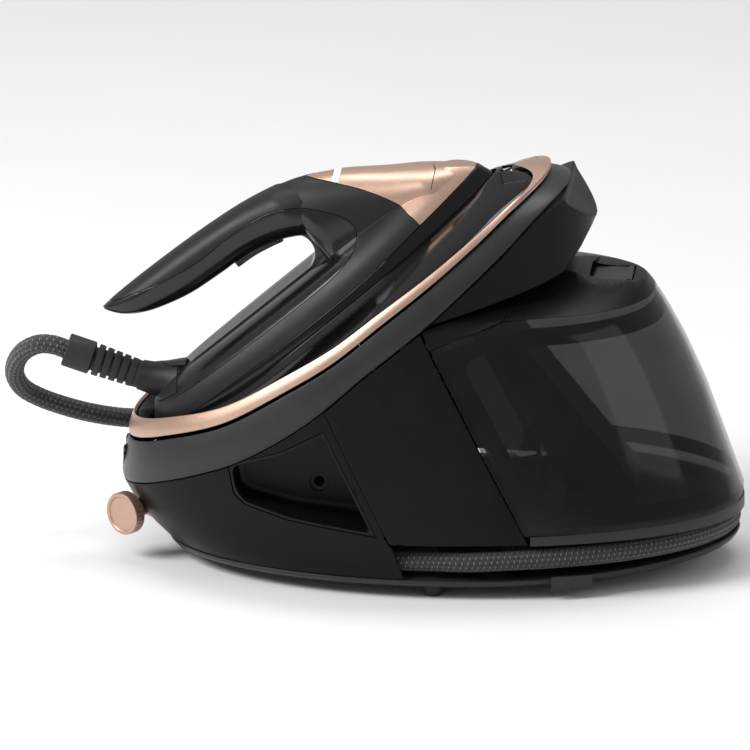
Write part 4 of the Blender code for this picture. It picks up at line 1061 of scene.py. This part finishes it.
def make_neck():
    """Tapered outlet at the heel that carries the strain relief, in world axes."""
    stations = [(RELIEF_ROOT, 10.2), ((-170, 0, 117.5), 11.0), ((-161, 0, 116.5), 13.0),
                ((-150, 0, 114.0), 18.0)]
    rings = []
    for k, (centre, radius) in enumerate(stations):
        ahead = Vector(stations[min(k + 1, 3)][0]) - Vector(stations[max(k - 1, 0)][0])
        up = Vector((-ahead.z, 0, ahead.x)).normalized() * radius
        across = Vector((0, radius, 0))
        rings.append([tuple(Vector(centre) + up * math.sin(a) + across * math.cos(a))
                      for a in (2 * math.pi * i / 48 for i in range(48))])
    return skin("neck", rings)


CHEVRON = [(262.5, 50), (270.5, 30.6), (262.5, 24), (262.9, 23.7), (271.1, 30.6), (263.1, 50)]


def outline_curve(points, step):
    """Smooth (s, n) curve through a few points."""
    return [(p.x, p.z) for p in smooth_route([(s, 0, n) for s, n in points], step)]


def make_iron():
    form = make_iron_form()
    edge = refine(SKIRT_EDGE, 12)
    skirt = slice_of(form, "skirt", [(-5, -6), (305, -6)] + edge[::-1] + [(-5, 12)])
    cavity = skin("cavity", [iron_ring(-9, -8), iron_ring(-9, 6), iron_ring(-13, 12), iron_ring(-24, 18)])
    combine(skirt, cavity, keep=True)
    hood_edge = outline_curve(HOOD_EDGE, 3.0)
    hood_line = [(s + 0.3, n + 0.3) for s, n in hood_edge]
    hood = slice_of(form, "hood", hood_line[::-1] + [(197.3, 110), (310, 110), (310, 15), (300, 14.4),
                                                     (245, 12.0)])
    strip_outline = [(211.6, 68.6), (214.6, 65.2), (224.6, 72), (224.6, 92), (218.4, 92), (218.4, 73.4)]
    strip = slice_of(hood, "strip", inset(strip_outline, 0.12))
    combine(hood, prism("strip_space", strip_outline, -80, 80))
    combine(hood, prism("seam", CHEVRON, -80, 80))
    lower = [(s, n + GAP) for s, n in edge if s < 240]
    flank = slice_of(form, "flank", lower + [(243.6, 12.0), *hood_edge[::-1], (197, 120), (-60, 120),
                                             (-60, 14)])
    combine(flank, cavity, keep=True)
    liner_edge = outline_curve(LINER_EDGE, 3.0)
    liner_outline = liner_edge + [(40, 24), (46, 33), (36, 45), (26, 62), (20, 90)]
    liner = slice_of(form, "liner", inset(liner_outline, 0.12))
    combine(liner, cavity)
    combine(flank, prism("liner_space", inset(liner_outline, -0.12), -80, 80))
    combine(liner, block("trigger_slot", (118, -8.6, 50), (162, 8.6, 75)))
    parts = [(skirt, "skirt_moulding", "gloss", ["iron_skirt"], 0.3),
             (flank, "iron_moulding", "grip", ["iron_body", "handle_shell"], 0.25),
             (hood, "copper_shield", "copper", ["copper_hood"], 0.2),
             (strip, "light_guide", "frost", ["light_strip"], 0.0),
             (liner, "grip_liner", "liner", ["handle_liner"], 0.3)]
    for piece, name, material, nodes, edge_width in parts:
        on_platform(piece)
        if edge_width:
            soften(piece, edge_width)
        stand_in(piece, name, "iron", material, nodes)
    bpy.data.objects.remove(form, do_unlink=True)
    make_soleplate()
    make_trigger()


def make_soleplate():
    levels = ((-4, SOLE_N), (-2.4, SOLE_N + 0.25), (-1.5, SOLE_N + 1), (-1.5, SKIRT_N - GAP))
    sole = on_platform(skin("sole", [iron_ring(inward, n) for inward, n in levels]))
    for s in range(60, 270, 26):
        for share in (-0.55, 0.0, 0.55):
            y = share * iron_width(s) * 0.75
            combine(sole, on_platform(rod("vent", 1.6, (s, y, SOLE_N - 1), (s, y, SOLE_N + 1.6), 16)))
    stand_in(sole, "sole_plate", "iron", "steel", ["soleplate"], 20)


def make_trigger():
    trigger = prism("trigger", refine([(123, 60.6), (136, 60), (150, 57.6), (158, 55.6)], 3)
                    + [(160.5, 58.6), (158, 64), (123, 67)], -8, 8)
    combine(trigger, rod("pivot_bore", 1.4, (156, -20, 59.5), (156, 20, 59.5), 24))
    stand_in(soften(on_platform(trigger), 0.8, 3), "trigger_key", "steam_trigger", "gloss", ["steam_trigger"])


def make_strain_relief():
    """Collar and five slotted ribs, carried on a slimmer core."""
    profile = [(0, 51.2), (6.6, 51.2), (6.6, 52.6), (10.6, 52.6), (11.3, 51.9), (11.3, 34.6), (10.8, 34)]
    for k in range(5):
        top = 33.2 - 6 * k
        outer = 10.9 - 0.25 * k
        profile += [(8.2, top), (8.2, top - 1.6), (outer - 0.4, top - 1.6), (outer, top - 2.0),
                    (outer - 0.15, top - 5.6), (outer - 0.5, top - 6)]
    profile += [(9.4, 3.4), (9.4, -2), (0, -2)]
    aim = Vector(RELIEF_END) - Vector(RELIEF_ROOT)
    relief = turned("relief", profile, RELIEF_ROOT, aim, TURN)
    stand_in(relief, "flex_sleeve", "iron", "rubber", ["strain_relief"])


# ---------------------------------------------------------------- hidden and carried-over nodes

CARRIED = {
    "rubber": ["foot_front", "foot_side_near", "foot_side_far", "foot_rear", "cord_inlet", "rest_pad_heel",
               "rest_pad_near", "rest_pad_far", "drain_tube", "pump_bracket", "tank_coupling", "water_tube",
               "hose_gland", "steam_tube", "tank_valve"],
    "steel": ["heater_band", "boiler_cradle", "boiler_thermostat", "steam_valve", "pump",
              "lid_pin", "trigger_pin"],
    "aluminium": ["boiler", "steam_block"],
    "brass": ["drain_seat"],
    "board": ["control_board"],
    "hull": ["groove_wall", "platform_tray", "lock_hook"],
}


def dress_carried():
    for material, names in CARRIED.items():
        for name in names:
            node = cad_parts[name]
            node.data.materials.clear()
            node.data.materials.append(MATERIALS[material])


for make in (make_camera, make_stage, make_hose, make_base_plate, make_hull, make_cord_pocket,
             make_shelf, make_upper_shell, make_platform, make_rear_block, make_hose_clip, make_descaler,
             make_buttons, make_tank, make_iron, make_strain_relief, dress_carried):
    make()
